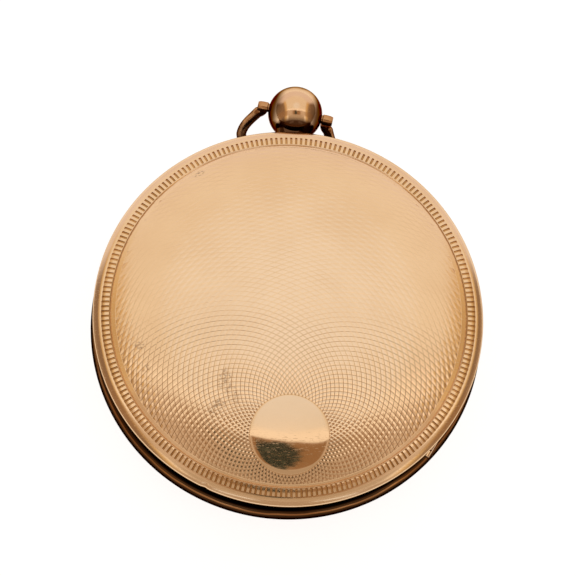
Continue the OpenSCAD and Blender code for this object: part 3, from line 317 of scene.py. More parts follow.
def metal(name, light, dark, rough, mottle=90.0, hairlines=0.5, grain=0.0,
          painted_shade=None, where=side_painted_shade, edge_tint=(0.42, 0.26, 0.16), smudges=()):
    """A polished metal with mottled tone, hairlines, uneven polish and, where given, painted shade:
    a dark colour laid over a mask.
    """
    mat, n, bsdf = new_material(name)
    bsdf.inputs["Metallic"].default_value = 1.0
    tone = n.noise(mottle, 4.0, 0.55)
    colour = n.mix(n.ramp(tone, 0.3, 0.7), light, dark)
    if smudges:
        colour = n.mix(n.times(patches(n, smudges), SMUDGE_MOST), colour, SMUDGE_BROWN)
    # Painted shade: the given dark colour laid over the mask that where returns
    if painted_shade:
        colour = n.mix(where(n), colour, painted_shade)
        bsdf.inputs["Specular Tint"].default_value = (*edge_tint, 1)
    n.value(bsdf.inputs["Base Color"], colour)
    fine = n.noise(mottle * 12, 3.0, 0.6)
    lines = n.most(scratches(n, 900, 0.5, 0.66), scratches(n, 700, -0.9, 0.67))
    polish = n.math("MULTIPLY_ADD", fine, rough[1] - rough[0], rough[0])
    n.value(bsdf.inputs["Roughness"], n.plus(polish, n.times(lines, 0.12)))
    height = n.plus(n.times(lines, -hairlines), n.times(n.noise(mottle * 40, 2.0), grain))
    n.link(n.bump(height, 0.35, 0.01), bsdf.inputs["Normal"])
    return mat


GOLD_LIGHT, GOLD_DARK = (0.86, 0.615, 0.395), (0.82, 0.57, 0.345)
COPPER_LIGHT, COPPER_DARK = (0.76, 0.46, 0.26), (0.62, 0.33, 0.17)
SMUDGES = [
    (-8.8, -10.0, 1.7, 1.0, 1.2),
    (-7.8, -12.2, 1.8, 0.9, -1.2),
    (-9.9, -13.9, 1.6, 1.0, 0.7),
    (-12.7, 20.1, 1.0, 0.6, 0.3),
    (-20.4, -5.2, 0.9, 0.6, 0),
    (-19.5, -8.4, 0.8, 0.5, 0.5),
]
engraved_gold = metal("engraved_gold", (0.865, 0.62, 0.40), (0.82, 0.57, 0.355), (0.10, 0.16),
                      smudges=SMUDGES)
# Painted shade in the engraved lines, darker towards the cover's bottom
cut_gold = metal("cut_gold", (0.86, 0.61, 0.385), (0.80, 0.55, 0.335), (0.12, 0.22),
                 mottle=200, painted_shade=(0.36, 0.17, 0.06), where=cut_painted_shade)
# Painted shade: a darker colour for the milled ring's grooves and the cartouche's edge
painted_shade_gold = metal("painted_shade_gold", (0.60, 0.33, 0.13), (0.42, 0.21, 0.07), (0.2, 0.36),
                    mottle=200)
# Painted shade under the rim's edge
plain_gold = metal("plain_gold", GOLD_LIGHT, GOLD_DARK, (0.10, 0.2),
                   mottle=120, painted_shade=(0.10, 0.05, 0.025), where=rim_painted_shade)
mirror_gold = metal("mirror_gold", (0.81, 0.57, 0.36), (0.78, 0.54, 0.33), (0.04, 0.09),
                    mottle=160, hairlines=0.3)
copper_gold = metal("copper_gold", COPPER_LIGHT, COPPER_DARK, (0.10, 0.24), mottle=140)
# Painted shade, near black, over the band's outside
band_gold = metal("band_gold", COPPER_LIGHT, COPPER_DARK, (0.16, 0.3),
                  mottle=260, painted_shade=(0.05, 0.022, 0.011), where=band_painted_shade)
# Painted shade, near black, over the bezel's back and side, with one painted highlight line
bezel_gold = metal("bezel_gold", (0.86, 0.44, 0.19), (0.70, 0.32, 0.12), (0.10, 0.24),
                   mottle=140, painted_shade=(0.018, 0.007, 0.003), where=bezel_painted_shade,
                   edge_tint=(0.20, 0.10, 0.05))
# Painted shade on the knuckles' sides, a dark reflection painted into the colour
knuckle_gold = metal("knuckle_gold", GOLD_LIGHT, GOLD_DARK, (0.1, 0.2),
                     mottle=200, painted_shade=(0.07, 0.03, 0.014))
# Painted shade on the wire's sides, a dark reflection painted into the colour
bow_gold = metal("bow_gold", (0.58, 0.31, 0.14), (0.34, 0.15, 0.06), (0.12, 0.28),
                 mottle=320, painted_shade=(0.05, 0.022, 0.012))
# Painted shade on the sides, round the pendant's neck and at the bow's two ends
pendant_gold = metal("pendant_gold", (0.84, 0.58, 0.36), (0.78, 0.50, 0.29), (0.06, 0.16),
                     mottle=200, painted_shade=(0.10, 0.042, 0.018), where=pendant_painted_shade)
gilt_brass = metal("gilt_brass", (0.85, 0.62, 0.28), (0.72, 0.50, 0.20), (0.28, 0.42),
                   mottle=200, hairlines=0.1, grain=0.8)
wheel_brass = metal("wheel_brass", (0.82, 0.63, 0.32), (0.70, 0.52, 0.24), (0.2, 0.34),
                    mottle=260)
polished_steel = metal("polished_steel", (0.66, 0.66, 0.66), (0.52, 0.52, 0.53), (0.1, 0.24),
                       mottle=300)
blued_steel = metal("blued_steel", (0.03, 0.06, 0.28), (0.05, 0.03, 0.16), (0.12, 0.22),
                    mottle=400)
silvered = metal("silvered", (0.82, 0.81, 0.78), (0.70, 0.69, 0.66), (0.3, 0.42),
                 mottle=260, hairlines=0.1, grain=0.6)


def make_enamel():
    mat, n, bsdf = new_material("dial_enamel")
    tone = n.ramp(n.noise(120, 4.0), 0.3, 0.75)
    n.value(bsdf.inputs["Base Color"], n.mix(tone, (0.87, 0.86, 0.82), (0.80, 0.79, 0.74)))
    n.value(bsdf.inputs["Roughness"], n.ramp(n.noise(900), 0.3, 0.8, 0.1, 0.22))
    n.link(n.bump(n.noise(350, 2.0), 0.15, 0.02), bsdf.inputs["Normal"])
    bsdf.inputs["Coat Weight"].default_value = 0.6
    return mat


def make_glass():
    mat, n, bsdf = new_material("crystal_glass")
    bsdf.inputs["Base Color"].default_value = (0.97, 0.99, 0.98, 1)
    bsdf.inputs["Transmission Weight"].default_value = 1.0
    bsdf.inputs["IOR"].default_value = 1.5
    n.value(bsdf.inputs["Roughness"], n.ramp(n.noise(600), 0.4, 0.9, 0.0, 0.03))
    n.link(n.bump(scratches(n, 500, 0.3, 0.68), 0.1, 0.01), bsdf.inputs["Normal"])
    return mat


def make_black():
    mat, n, bsdf = new_material("dial_black")
    tone = n.ramp(n.noise(500), 0.3, 0.8)
    n.value(bsdf.inputs["Base Color"], n.mix(tone, (0.012, 0.012, 0.014), (0.035, 0.033, 0.03)))
    n.value(bsdf.inputs["Roughness"], n.ramp(n.noise(1500), 0.3, 0.8, 0.18, 0.32))
    return mat


dial_enamel = make_enamel()
dial_black = make_black()
crystal_glass = make_glass()

# The finish of each slot, and of the nodes that differ from their slot's
FINISH = {
    "engine_turned_gold": plain_gold, "copper_gold": copper_gold, "gilt_brass": gilt_brass,
    "wheel_brass": wheel_brass, "polished_steel": polished_steel, "blued_steel": blued_steel,
    "silvered": silvered, "dial_enamel": dial_enamel, "crystal_glass": crystal_glass,
}
OWN_FINISH = {"case_band": band_gold, "pendant_foot": pendant_gold, "pendant_ball": pendant_gold,
              "bow_pin": bow_gold}


def finish_cad_nodes():
    slots = {n: m["slot"] for m in frame["record"]["materials"] for n in m.get("nodes", [])}
    for name, obj in nodes.items():
        old = obj.data.materials[0].name.split(".")[0] if obj.data.materials else ""
        mat = OWN_FINISH.get(name) or FINISH.get(slots.get(name, old))
        obj.data.materials.clear()
        obj.data.materials.append(mat or gilt_brass)


# Degrees between two faces from which their edge stays crisp, and the sides of a rod
SHARP = 32
ROD_SIDES = 32


def mesh_object(name, verts, faces):
    """A mesh in the scene, from points in millimetres."""
    mesh = bpy.data.meshes.new(name)
    mesh.from_pydata((np.asarray(verts, float) * MM).tolist(), [], faces)
    obj = bpy.data.objects.new(name, mesh)
    bpy.context.scene.collection.objects.link(obj)
    return obj


def shade(mesh, sharp=SHARP):
    """Smooth, but for edges whose two faces lie more than so many degrees apart."""
    mesh.shade_smooth()
    mesh.set_sharp_from_angle(angle=math.radians(sharp))


def add_object(name, verts, faces, mats, body, replaces=(), face_mats=None, sharp=SHARP):
    obj = mesh_object(name, verts, faces)
    mesh = obj.data
    for m in mats:
        mesh.materials.append(m)
    if face_mats is not None:
        mesh.polygons.foreach_set("material_index", np.asarray(face_mats, np.int32))
    mesh.update()
    shade(mesh, sharp)
    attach(obj, body)
    if replaces:
        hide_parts(*replaces)
    return obj


def around(count):
    """Evenly spaced angles, once round."""
    return np.arange(count) * 2 * math.pi / count


def ring_faces(loops, count, closed=False):
    """Quads between neighbouring loops of equal count, and from the last to the first if closed."""
    i = np.arange(count)
    j = (i + 1) % count
    out = []
    for k in range(loops if closed else loops - 1):
        a, b = k * count, (k + 1) % loops * count
        out.append(np.stack([a + i, a + j, b + j, b + i], 1))
    return np.concatenate(out).tolist()


def flipped(faces):
    return [f[::-1] for f in faces]


def lathe(profile, count):
    """A closed solid of revolution about Z from a closed profile of (r, z), counter-clockwise
    seen with r to the right and z up."""
    a = around(count)
    verts = np.concatenate([np.stack([r * np.cos(a), r * np.sin(a), np.full(count, z)], 1)
                            for r, z in profile])
    return verts, ring_faces(len(profile), count, closed=True)


def arc(cx, cy, r, a, b, n):
    t = np.radians(np.linspace(a, b, n + 1))
    return [(cx + r * math.cos(x), cy + r * math.sin(x)) for x in t]


def axes_along(axis):
    """Three unit axes as rows, the last of them along the given one."""
    w = Vector(axis).normalized()
    u = w.orthogonal().normalized()
    return np.array([list(u), list(w.cross(u)), list(w)])


def rod(p, axis, r, length):
    """A closed cylinder centred at p along axis."""
    u, v, w = axes_along(axis)
    t = around(ROD_SIDES)[:, None]
    out = r * (np.cos(t) * u + np.sin(t) * v)
    verts = np.concatenate([np.array(p) + out + d * w for d in (-length / 2, length / 2)])
    faces = ring_faces(2, ROD_SIDES)
    faces += [list(range(ROD_SIDES))[::-1], list(range(ROD_SIDES, 2 * ROD_SIDES))]
    return verts, faces


def turned(p, axis, profile, count):
    """A closed solid turned about an axis through p, from a closed profile of (r, along)."""
    verts, faces = lathe(profile, count)
    return verts @ axes_along(axis) + np.array(p), faces


def combine(parts):
    """Several lots of points and faces as one."""
    verts, faces, base = [], [], 0
    for v, f in parts:
        verts.append(v)
        faces += [[i + base for i in face] for face in f]
        base += len(v)
    return np.concatenate(verts), faces


def carve(obj, cutters):
    """Cuts obj by each cutter with the exact solver, and applies it."""
    for c in cutters:
        mod = obj.modifiers.new("cut", "BOOLEAN")
        mod.operation, mod.solver, mod.object = "DIFFERENCE", "EXACT", c
        dg = bpy.context.evaluated_depsgraph_get()
        mesh = bpy.data.meshes.new_from_object(obj.evaluated_get(dg))
        obj.modifiers.clear()
        old = obj.data
        obj.data = mesh
        bpy.data.meshes.remove(old)
        bpy.data.objects.remove(c)
    shade(obj.data)


# The hinges of the cover and the bezel
PIN_CUT_PAST = 1.0
KNUCKLE_EDGE, KNUCKLE_SIDES = 0.06, 40


def hinge_point(along, z):
    c, s = math.cos(HINGE_ANGLE), math.sin(HINGE_ANGLE)
    return (HINGE_R * c - along * s, HINGE_R * s + along * c, z)


def cut_hinge(obj, z):
    """Makes room in a hinged piece for the band's middle knuckle and for the pin."""
    middle = rod(hinge_point(0, z), HINGE_AXIS, KNUCKLE_R + FIT_GAP, MID_KNUCKLE + 2 * FIT_GAP)
    pin = rod(hinge_point(0, z), HINGE_AXIS, PIN_R, HINGE_LEN + 2 * PIN_CUT_PAST)
    carve(obj, [mesh_object("cutter", *middle), mesh_object("cutter", *pin)])


def hinge_leaves(name, z, mat, body):
    """The two outer knuckles of a hinge."""
    long = HINGE_LEN / 2 - MID_KNUCKLE / 2 - FIT_GAP
    mid = MID_KNUCKLE / 2 + FIT_GAP + long / 2
    c, r, h = KNUCKLE_EDGE, KNUCKLE_R, long / 2
    profile = [(PIN_R, -h), (r - c, -h), (r, -h + c), (r, h - c), (r - c, h), (PIN_R, h)]
    verts, faces = combine([turned(hinge_point(s * mid, z), HINGE_AXIS, profile, KNUCKLE_SIDES)
                            for s in (-1, 1)])
    add_object(name, verts, faces, [mat], body)


# The cover's field and the barleycorn engraved in it
FIELD_R, FIELD_OVAL = 23.8, 0.4
FIELD_DROP = 0.12
WALL_OUT, WALL_DROP, WALL_EDGE = 0.01, 0.03, 0.05
FIELD_STEPS = (0.02, 0.15, 0.3, 0.45, 0.6, 0.7, 0.78, 0.85, 0.92, 0.97, 1.0)
PATTERN_AT = (0.0, -17.8)
LOBES = 72
STEP_A, STEP_B = 1.109, 0.00974
SPIRALS = (11, 112)
CELL_STEPS = np.array([0, 0.06, 0.5, 0.94, 1.0])
CELL_POINTS = len(CELL_STEPS)
PEAK_DROP, PILLOW, GROOVE = 0.015, 0.026, 0.011
WORN_FROM_Y, WORN_LENGTH = 1.0, 14.0
WORN_RELIEF, RELIEF_GAIN = 0.52, 0.73
UNDER_WALL, UNDER_CARTOUCHE = 0.45, 0.5
SHEET_OVERLAP = 0.02
KEY_ROW = 100000

# The plain polished disc: share of its radius and height over the dome, loop by loop
CARTOUCHE = (0.0, -17.6)
CARTOUCHE_R = 5.5
CARTOUCHE_SIDES = 160
CARTOUCHE_LOOPS = [(0.02, 0.03), (0.2, 0.03), (0.4, 0.03), (0.6, 0.03), (0.75, 0.03),
                   (0.86, 0.03), (0.92, 0.026), (0.955, 0.012), (0.98, -0.015), (1.0, -0.06),
                   (1.0, -0.15), (0.5, -0.15), (0.02, -0.15)]
# The loops whose faces take the darker finish: a painted shade line round the disc's edge
CARTOUCHE_EDGE = (8, 9)

# The plain strip round the field, with the fine line that bounds it: radius and extra height
STRIP_R, STRIP_FALL = 24.5, 0.42
STRIP_LOOPS = ((24.44, 0), (24.47, -0.05), (24.51, -0.05), (24.54, 0.0))

# The coin-milled ring. Each rib has six points, and each loop a share of the grooves' depth.
RIBS = 230
RIB_PHASES = np.array([0, 0.16, 0.22, 0.5, 0.78, 0.84])
RIB_POINTS = len(RIB_PHASES)
GROOVE_DEEP = np.array([1, 0.85, 0, 0, 0, 0.85])
GROOVE_SIDES = (0, 1, 4, 5)
MILL_IN, MILL_OUT = 24.8, 25.85
MILL_Z_IN, MILL_Z_OUT = 13.30, 12.95
MILL_BULGE, MILL_MID, MILL_HALF = 0.045, 25.3, 0.5
MILL_DEPTH = 0.15
BEAD_R, BEAD_RISE = 24.66, 0.01
MILL_LOOPS = ((24.72, 0.0), (24.75, 0.0), (24.78, 0.9), (24.84, 1.0), (24.95, 1.0), (25.1, 1.0),
              (25.3, 1.0), (25.5, 1.0), (25.65, 1.0), (25.75, 1.0), (25.80, 0.9), (25.83, 0.0))

# The rim, softly rounded outward and turned under at its edge, and the lip inside the band
RIM = (arc(25.30, 10.735, 2.2, 76, 46, 12) + arc(26.527, 11.968, 0.47, 40, -40, 12)
       + [(26.72, 11.315), (26.3, BAND_BACK)])
LIP_DEEP, LIP_WALL, LIP_EDGE, LIP_INSIDE = 0.5, 0.4, 0.04, 0.5
INSIDE_STEPS = (1, 0.97, 0.93, 0.88, 0.8, 0.7, 0.55, 0.4, 0.2, 0.03)
INSIDE_R = LIP_R - 1
NICK_ANGLE = math.radians(-115)
NICK_WIDTH, NICK_DEPTH = 0.42, 0.11
NICK_FROM_R, NICK_FROM_Z, NICK_REACH = 26.2, 10.9, 0.6


def dome_z(r):
    r = np.asarray(r, float)
    return COVER_TOP - r * r / 2 / DOME_CURVE_R - DOME_EDGE_K * np.maximum(0, r - DOME_FLAT_R) ** 2


def field_edge(theta):
    return FIELD_R + FIELD_OVAL * np.sin(theta) ** 2


def mill_z(r):
    return MILL_Z_IN + (MILL_Z_OUT - MILL_Z_IN) * (r - MILL_IN) / (MILL_OUT - MILL_IN)


def cover_body():
    """The cover without its engraving, from loops of points: out over its top, in below it."""
    count = RIBS * RIB_POINTS
    th = (np.arange(RIBS)[:, None] + RIB_PHASES).ravel() * 2 * math.pi / RIBS
    groove = np.tile(GROOVE_DEEP, RIBS)
    edge = field_edge(th)
    one = np.ones(count)
    loops, in_ring = [], []

    def put(r, z, ring=False):
        loops.append((r * one, z * one))
        in_ring.append(ring)

    # the recess under the engraving, then its wall
    for f in FIELD_STEPS:
        put(edge * f, dome_z(edge * f) - FIELD_DROP)
    put(edge + WALL_OUT, dome_z(edge) - WALL_DROP)
    put(edge + WALL_EDGE, dome_z(edge + WALL_EDGE))
    for r, dz in STRIP_LOOPS:
        put(r, dome_z(STRIP_R) + (STRIP_R - r) * STRIP_FALL + dz)
    # the milled ring between two thin beads
    put(BEAD_R, mill_z(BEAD_R) + BEAD_RISE)
    for r, w in MILL_LOOPS:
        bulge = MILL_BULGE * (1 - ((r - MILL_MID) / MILL_HALF) ** 2)
        put(r, mill_z(r) + bulge * (w > 0) - MILL_DEPTH * w * groove, w > 0)
    for r, z in RIM:
        put(r, z)
    deep, wall, c = LIP_DEEP, LIP_WALL, LIP_EDGE
    for dr, dz in ((0, 0), (0, deep - c), (c, deep), (wall - c, deep), (wall, deep - c),
                   (wall, -LIP_INSIDE)):
        put(LIP_R - dr, BAND_BACK - dz)
    for f in INSIDE_STEPS:
        put(INSIDE_R * f, dome_z(INSIDE_R * f) - COVER_WALL)

    # the nail nick, pressed into the rim's edge
    away = np.abs((th - NICK_ANGLE + math.pi) % (2 * math.pi) - math.pi) * CASE_R
    nick = np.exp(-(away / NICK_WIDTH) ** 2)
    verts = []
    for r, z in loops:
        press = NICK_DEPTH * nick * np.clip((r - NICK_FROM_R) / NICK_REACH, 0, 1)
        r = r - np.where((r > NICK_FROM_R) & (z > NICK_FROM_Z), press, 0)
        verts.append(np.stack([r * np.cos(th), r * np.sin(th), z], 1))
    verts += [[[0, 0, COVER_TOP - FIELD_DROP]], [[0, 0, COVER_TOP - COVER_WALL]]]

    faces = ring_faces(len(loops), count)
    # the grooves' sides take the second finish, whose darker colour is painted shade
    in_groove = np.isin(np.arange(count) % RIB_POINTS, GROOVE_SIDES)
    face_mats = [int(in_ring[k] and in_ring[k + 1] and in_groove[i])
                 for k in range(len(loops) - 1) for i in range(count)]
    face_mats += [0] * (2 * count)
    last = (len(loops) - 1) * count
    top = last + count
    low = top + 1
    for i in range(count):
        j = (i + 1) % count
        faces.append([top, j, i])
        faces.append([low, last + i, last + j])
    return np.concatenate(verts), flipped(faces), face_mats


def engraved_field():
    """Barleycorn engine turning: grains between two crossing families of spirals, set out
    from one rosette centre in the cartouche. A closed sheet let into the cover's recess."""

    def place(u, v):
        s = (u + v) / 2
        d = (-STEP_A + np.sqrt(STEP_A ** 2 + 2 * STEP_B * s)) / STEP_B
        angle = (u - v) / 2 * 2 * math.pi / LOBES - math.pi / 2
        return PATTERN_AT[0] + d * np.cos(angle), PATTERN_AT[1] + d * np.sin(angle)

    # the grains whose middle lies in the field, each numbered along both families
    k, m = np.meshgrid(np.arange(*SPIRALS), np.arange(LOBES), indexing="ij")
    k, m = k.ravel(), m.ravel()
    u = (k + (2 * m + k % 2)) // 2
    v = k - u
    cx, cy = place(u + 0.5, v + 0.5)
    keep = np.hypot(cx, cy) < field_edge(np.arctan2(cy, cx)) + UNDER_WALL
    keep &= np.hypot(cx - CARTOUCHE[0], cy - CARTOUCHE[1]) > CARTOUCHE_R - UNDER_CARTOUCHE
    u, v = u[keep, None, None], v[keep, None, None]
    n = len(u)

    # a grid of points over each grain, of which neighbours share those on their border
    gi, gj = np.meshgrid(np.arange(CELL_POINTS), np.arange(CELL_POINTS), indexing="ij")
    sides = CELL_POINTS - 1
    row, column = sides * u + gi, sides * v + gj
    key = (row + column).astype(np.int64) * KEY_ROW + (row - column) % (2 * sides * LOBES)
    _, first, grid = np.unique(key.ravel(), return_index=True, return_inverse=True)
    grid = grid.reshape(n, CELL_POINTS, CELL_POINTS)
    x, y = place((u + CELL_STEPS[gi]).ravel()[first], (v + CELL_STEPS[gj]).ravel()[first])
    a = np.tile(CELL_STEPS[gi], (n, 1, 1)).ravel()[first]
    b = np.tile(CELL_STEPS[gj], (n, 1, 1)).ravel()[first]
    border = (a == 0) | (a == 1) | (b == 0) | (b == 1)
    pillow = (1 - (2 * a - 1) ** 2) * (1 - (2 * b - 1) ** 2)
    # hands have worn the upper half nearly smooth
    t = np.clip((WORN_FROM_Y - y) / WORN_LENGTH, 0, 1)
    relief = WORN_RELIEF + RELIEF_GAIN * t * t * (3 - 2 * t)
    height = relief * (PILLOW * (pillow - 1) - GROOVE * border) - PEAK_DROP
    top = np.stack([x, y, dome_z(np.hypot(x, y)) + height], 1)
    corners = np.unique(grid[:, ::sides, ::sides])
    below = {int(c): len(top) + i for i, c in enumerate(corners)}
    bottom = top[corners].copy()
    bottom[:, 2] = dome_z(np.hypot(bottom[:, 0], bottom[:, 1])) - FIELD_DROP - SHEET_OVERLAP

    quads = np.stack([grid[:, :-1, :-1], grid[:, 1:, :-1], grid[:, 1:, 1:], grid[:, :-1, 1:]], -1)
    faces = quads.reshape(-1, 4).tolist()
    # the border quads take the second finish, with its painted shade low on the cover
    cut = np.ones((sides, sides), int)
    cut[1:-1, 1:-1] = 0
    face_mats = np.tile(cut.ravel(), n).tolist()
    # each grain's underside, and a wall under each border that no neighbour shares
    walls = {}
    for g in grid:
        faces.append([below[int(g[0, 0])], below[int(g[0, -1])], below[int(g[-1, -1])],
                      below[int(g[-1, 0])]])
        for side in (g[:, 0], g[-1, :], g[::-1, -1], g[0, ::-1]):
            p0, p1 = int(side[0]), int(side[-1])
            if (p1, p0) in walls:
                del walls[p1, p0]
            else:
                walls[p0, p1] = side
    for (p0, p1), side in walls.items():
        faces.append([int(i) for i in side[::-1]] + [below[p0], below[p1]])
    face_mats += [0] * (len(faces) - len(face_mats))
    return np.concatenate([top, bottom]), faces, face_mats


def cartouche_disc():
    """The plain polished disc, which follows the dome and stands a hair above the engraving."""
    count, loops = CARTOUCHE_SIDES, len(CARTOUCHE_LOOPS)
    th = around(count)
    verts = []
    for f, dz in CARTOUCHE_LOOPS:
        x = CARTOUCHE[0] + f * CARTOUCHE_R * np.cos(th)
        y = CARTOUCHE[1] + f * CARTOUCHE_R * np.sin(th)
        verts.append(np.stack([x, y, dome_z(np.hypot(x, y)) + dz], 1))
    faces = flipped(ring_faces(loops, count))
    last = (loops - 1) * count
    faces += [list(range(count)), list(range(last, last + count))[::-1]]
    face_mats = [int(k in CARTOUCHE_EDGE) for k in range(loops - 1) for _ in range(count)]
    return np.concatenate(verts), faces, face_mats + [0, 0]


def make_cover():
    verts, faces, face_mats = cover_body()
    cover = add_object("cover_body", verts, faces, [plain_gold, painted_shade_gold], "cover",
                       ["back_cover"], face_mats)
    cut_hinge(cover, BAND_BACK)
    hinge_leaves("cover_knuckles", BAND_BACK, knuckle_gold, "cover")
    verts, faces, face_mats = engraved_field()
    add_object("engine_turning", verts, faces, [engraved_gold, cut_gold], "cover",
               face_mats=face_mats, sharp=2)
    verts, faces, face_mats = cartouche_disc()
    add_object("cartouche", verts, faces, [mirror_gold, painted_shade_gold], "cover",
               face_mats=face_mats)


# The bezel's section, from its back out over its rounded side to the front, then in and back
BEZEL_IN, BEZEL_SIDES = 24.5, 480
BEZEL_OUT = [(26.3, BAND_FRONT), (26.45, BAND_FRONT - 0.02)] \
    + arc(26.1, BAND_FRONT - 1.3, 1.2, 66, -70, 26)
BEZEL_SLOPE = [(25.6, 4.1), (24.9, 3.6), (24.6, 3.45), (24.0, 3.28), (23.5, 3.21), (23.3, 3.2),
               (23.05, 3.24), (22.82, 3.36), (22.72, 3.5), (22.6, 3.93), (22.62, 3.97)]
SEAT_R, SEAT_FRONT, SEAT_BACK = 22.93, 3.97, 4.53
FLANGE_IN, FLANGE_BACK, FLANGE_EDGE = 21, 5.2, 0.04


def make_bezel():
    seat = [(SEAT_R, SEAT_FRONT), (SEAT_R, SEAT_BACK)]
    flange = [(FLANGE_IN + FLANGE_EDGE, SEAT_BACK), (FLANGE_IN, SEAT_BACK + FLANGE_EDGE),
              (FLANGE_IN, FLANGE_BACK - FLANGE_EDGE), (FLANGE_IN + FLANGE_EDGE, FLANGE_BACK)]
    profile = [(BEZEL_IN, BAND_FRONT)] + BEZEL_OUT + BEZEL_SLOPE + seat + flange \
        + [(BEZEL_IN, FLANGE_BACK)]
    # the solver that cuts the hinge turns every face outward, whichever way it comes
    verts, faces = lathe(profile[::-1], BEZEL_SIDES)
    bezel = add_object("bezel_body", verts, flipped(faces), [bezel_gold], "front",
                       ["bezel"])
    cut_hinge(bezel, BAND_FRONT)
    hinge_leaves("bezel_knuckles", BAND_FRONT, knuckle_gold, "front")


# The bow's wire. Each side starts at the pin, in the middle of a short sleeve.
WIRE_R, WIRE_SIDES = 0.71, 28
WIRE_SWELL, SWELL_AT, SWELL_LENGTH = 0.05, 0.9, 1.1
WIRE_WORN = 0.02
ROOT_START, ROOT_PULL = (4.60, BOW_PIN_R + 0.06), (4.62, 1.10)
SIDE_START, SIDE_BEND = 1.5, 1.5
SLEEVE = [(0.63, 3.93), (0.69, 3.94), (0.73, 3.99), (0.75, 4.08), (0.755, 4.3), (0.755, 4.6),
          (0.745, 4.85), (0.73, 5.0), (0.71, 5.12), (0.68, 5.24), (0.65, 5.32), (0.63, 5.34)]
SLEEVE_SIDES = 48


def pendant_frame():
    turn = Matrix.Rotation(LEAN, 4, "Z")
    return Matrix.Translation((0, BAND_R, PENDANT_Z)) @ turn @ Matrix.Translation(
        (0, BALL_REACH, 0))


def sweep(path, radii):
    """A round wire along a flat path of (x, y), with a radius at every point."""
    d = np.gradient(path, axis=0)
    d /= np.linalg.norm(d, axis=1)[:, None]
    t = (np.arange(WIRE_SIDES) + 0.5) * 2 * math.pi / WIRE_SIDES
    verts = []
    for (x, y), (dx, dy), r in zip(path, d, radii):
        verts.append(np.stack([x + r * dy * np.cos(t), y - r * dx * np.cos(t), r * np.sin(t)], 1))
    faces = flipped(ring_faces(len(path), WIRE_SIDES))
    last = (len(path) - 1) * WIRE_SIDES
    faces += [list(range(WIRE_SIDES)), list(range(last, last + WIRE_SIDES))[::-1]]
    return np.concatenate(verts), faces


def make_bow():
    mid = (BOSS_IN + BOSS_OUT) / 2
    y = np.linspace(SIDE_START, BOW_WIDE_AT, 36)[:-1]
    x = mid + (BOW_HALF - mid) * np.sin(math.pi / 2 * y / BOW_WIDE_AT) ** SIDE_BEND
    t = np.linspace(0, 1, 10)[:-1, None]
    root = (1 - t) ** 2 * ROOT_START + 2 * (1 - t) * t * ROOT_PULL + t * t * [x[0], y[0]]
    side = np.concatenate([root, np.stack([x, y], 1)])
    t = np.linspace(0, math.pi, 140)
    far = np.stack([BOW_HALF * np.cos(t), BOW_WIDE_AT + (BOW_LEN - BOW_WIDE_AT) * np.sin(t)], 1)
    path = np.concatenate([side, far, side[::-1] * [-1, 1]])
    c, s = math.cos(BOW_SKEW), math.sin(BOW_SKEW)
    path = path @ np.array([[c, s], [-s, c]])
    swell = WIRE_R + WIRE_SWELL * np.exp(-((side[:, 1] - SWELL_AT) / SWELL_LENGTH) ** 2)
    radii = np.concatenate([swell, WIRE_R - WIRE_WORN * np.sin(t), swell[::-1]])
    parts = [sweep(path, radii)]
    parts += [turned((0, 0, 0), (s, 0, 0), SLEEVE, SLEEVE_SIDES) for s in (-1, 1)]
    verts, faces = combine(parts)
    place = pendant_frame() @ Matrix.Rotation(BOW_FOLD, 4, "X")
    verts = verts @ np.array(place.to_3x3()).T + np.array(place.translation)
    add_object("bow_wire", verts, faces, [bow_gold], "bow", ["bow"], sharp=60)


# The dial's printing. A glyph is its advance, then its strokes of (x0, y0, x1, y1, width), in
# heights of the numeral.
PRINT_BACK, PRINT_FRONT = 4.605, 4.585
NUMERALS = ("XII", "I", "II", "III", "IIII", "V", "VI", "VII", "VIII", "IX", "X", "XI")
GLYPHS = {
    "I": (0.30, [(0.15, 0, 0.15, 1, 0.13)]),
    "V": (0.74, [(0.12, 1, 0.37, 0, 0.14), (0.62, 1, 0.37, 0, 0.045)]),
    "X": (0.74, [(0.12, 1, 0.62, 0, 0.14), (0.62, 1, 0.12, 0, 0.045)]),
}
THICK_STROKE = 0.1
THICK_SERIF, THIN_SERIF, SERIF_WIDTH = 0.11, 0.08, 0.035
NUMERAL_FOOT_R, NUMERAL_HEIGHT = 14.3, 3.3
TRACK_RADII, TRACK_HALF, TRACK_SIDES = (18.3, 19.3), 0.04, 240
MINUTE_IN, MINUTE_OUT = 18.35, 19.25
MINUTE_WIDTH, FIVE_WIDTH = 0.09, 0.22


def dial_point(r, turn):
    """A place on the dial's front, turned clockwise from XII as its reader sees it."""
    return -r * math.sin(turn), r * math.cos(turn)


def stroke(p0, p1, width):
    d = np.subtract(p1, p0)
    n = np.array([d[1], -d[0]]) / np.hypot(*d) * width / 2
    ring = [p0 - n, p1 - n, p1 + n, p0 + n]
    verts = [(*q, z) for z in (PRINT_FRONT, PRINT_BACK) for q in ring]
    faces = [[0, 1, 2, 3], [7, 6, 5, 4]]
    faces += [[i, i + 4, (i + 1) % 4 + 4, (i + 1) % 4] for i in range(4)]
    return np.array(verts), faces


def numeral(text, turn):
    up = np.array(dial_point(1, turn))
    along = np.array(dial_point(1, turn + math.pi / 2))
    base = up * NUMERAL_FOOT_R
    pen = -sum(GLYPHS[c][0] for c in text) / 2
    parts = []
    for c in text:
        advance, strokes = GLYPHS[c]
        for x0, y0, x1, y1, w in strokes:
            a = base + NUMERAL_HEIGHT * (along * (pen + x0) + up * y0)
            b = base + NUMERAL_HEIGHT * (along * (pen + x1) + up * y1)
            parts.append(stroke(a, b, w * NUMERAL_HEIGHT))
            half = THICK_SERIF if w > THICK_STROKE else THIN_SERIF
            for end in (a, b):
                parts.append(stroke(end - along * half * NUMERAL_HEIGHT,
                                    end + along * half * NUMERAL_HEIGHT,
                                    SERIF_WIDTH * NUMERAL_HEIGHT))
        pen += advance
    return parts


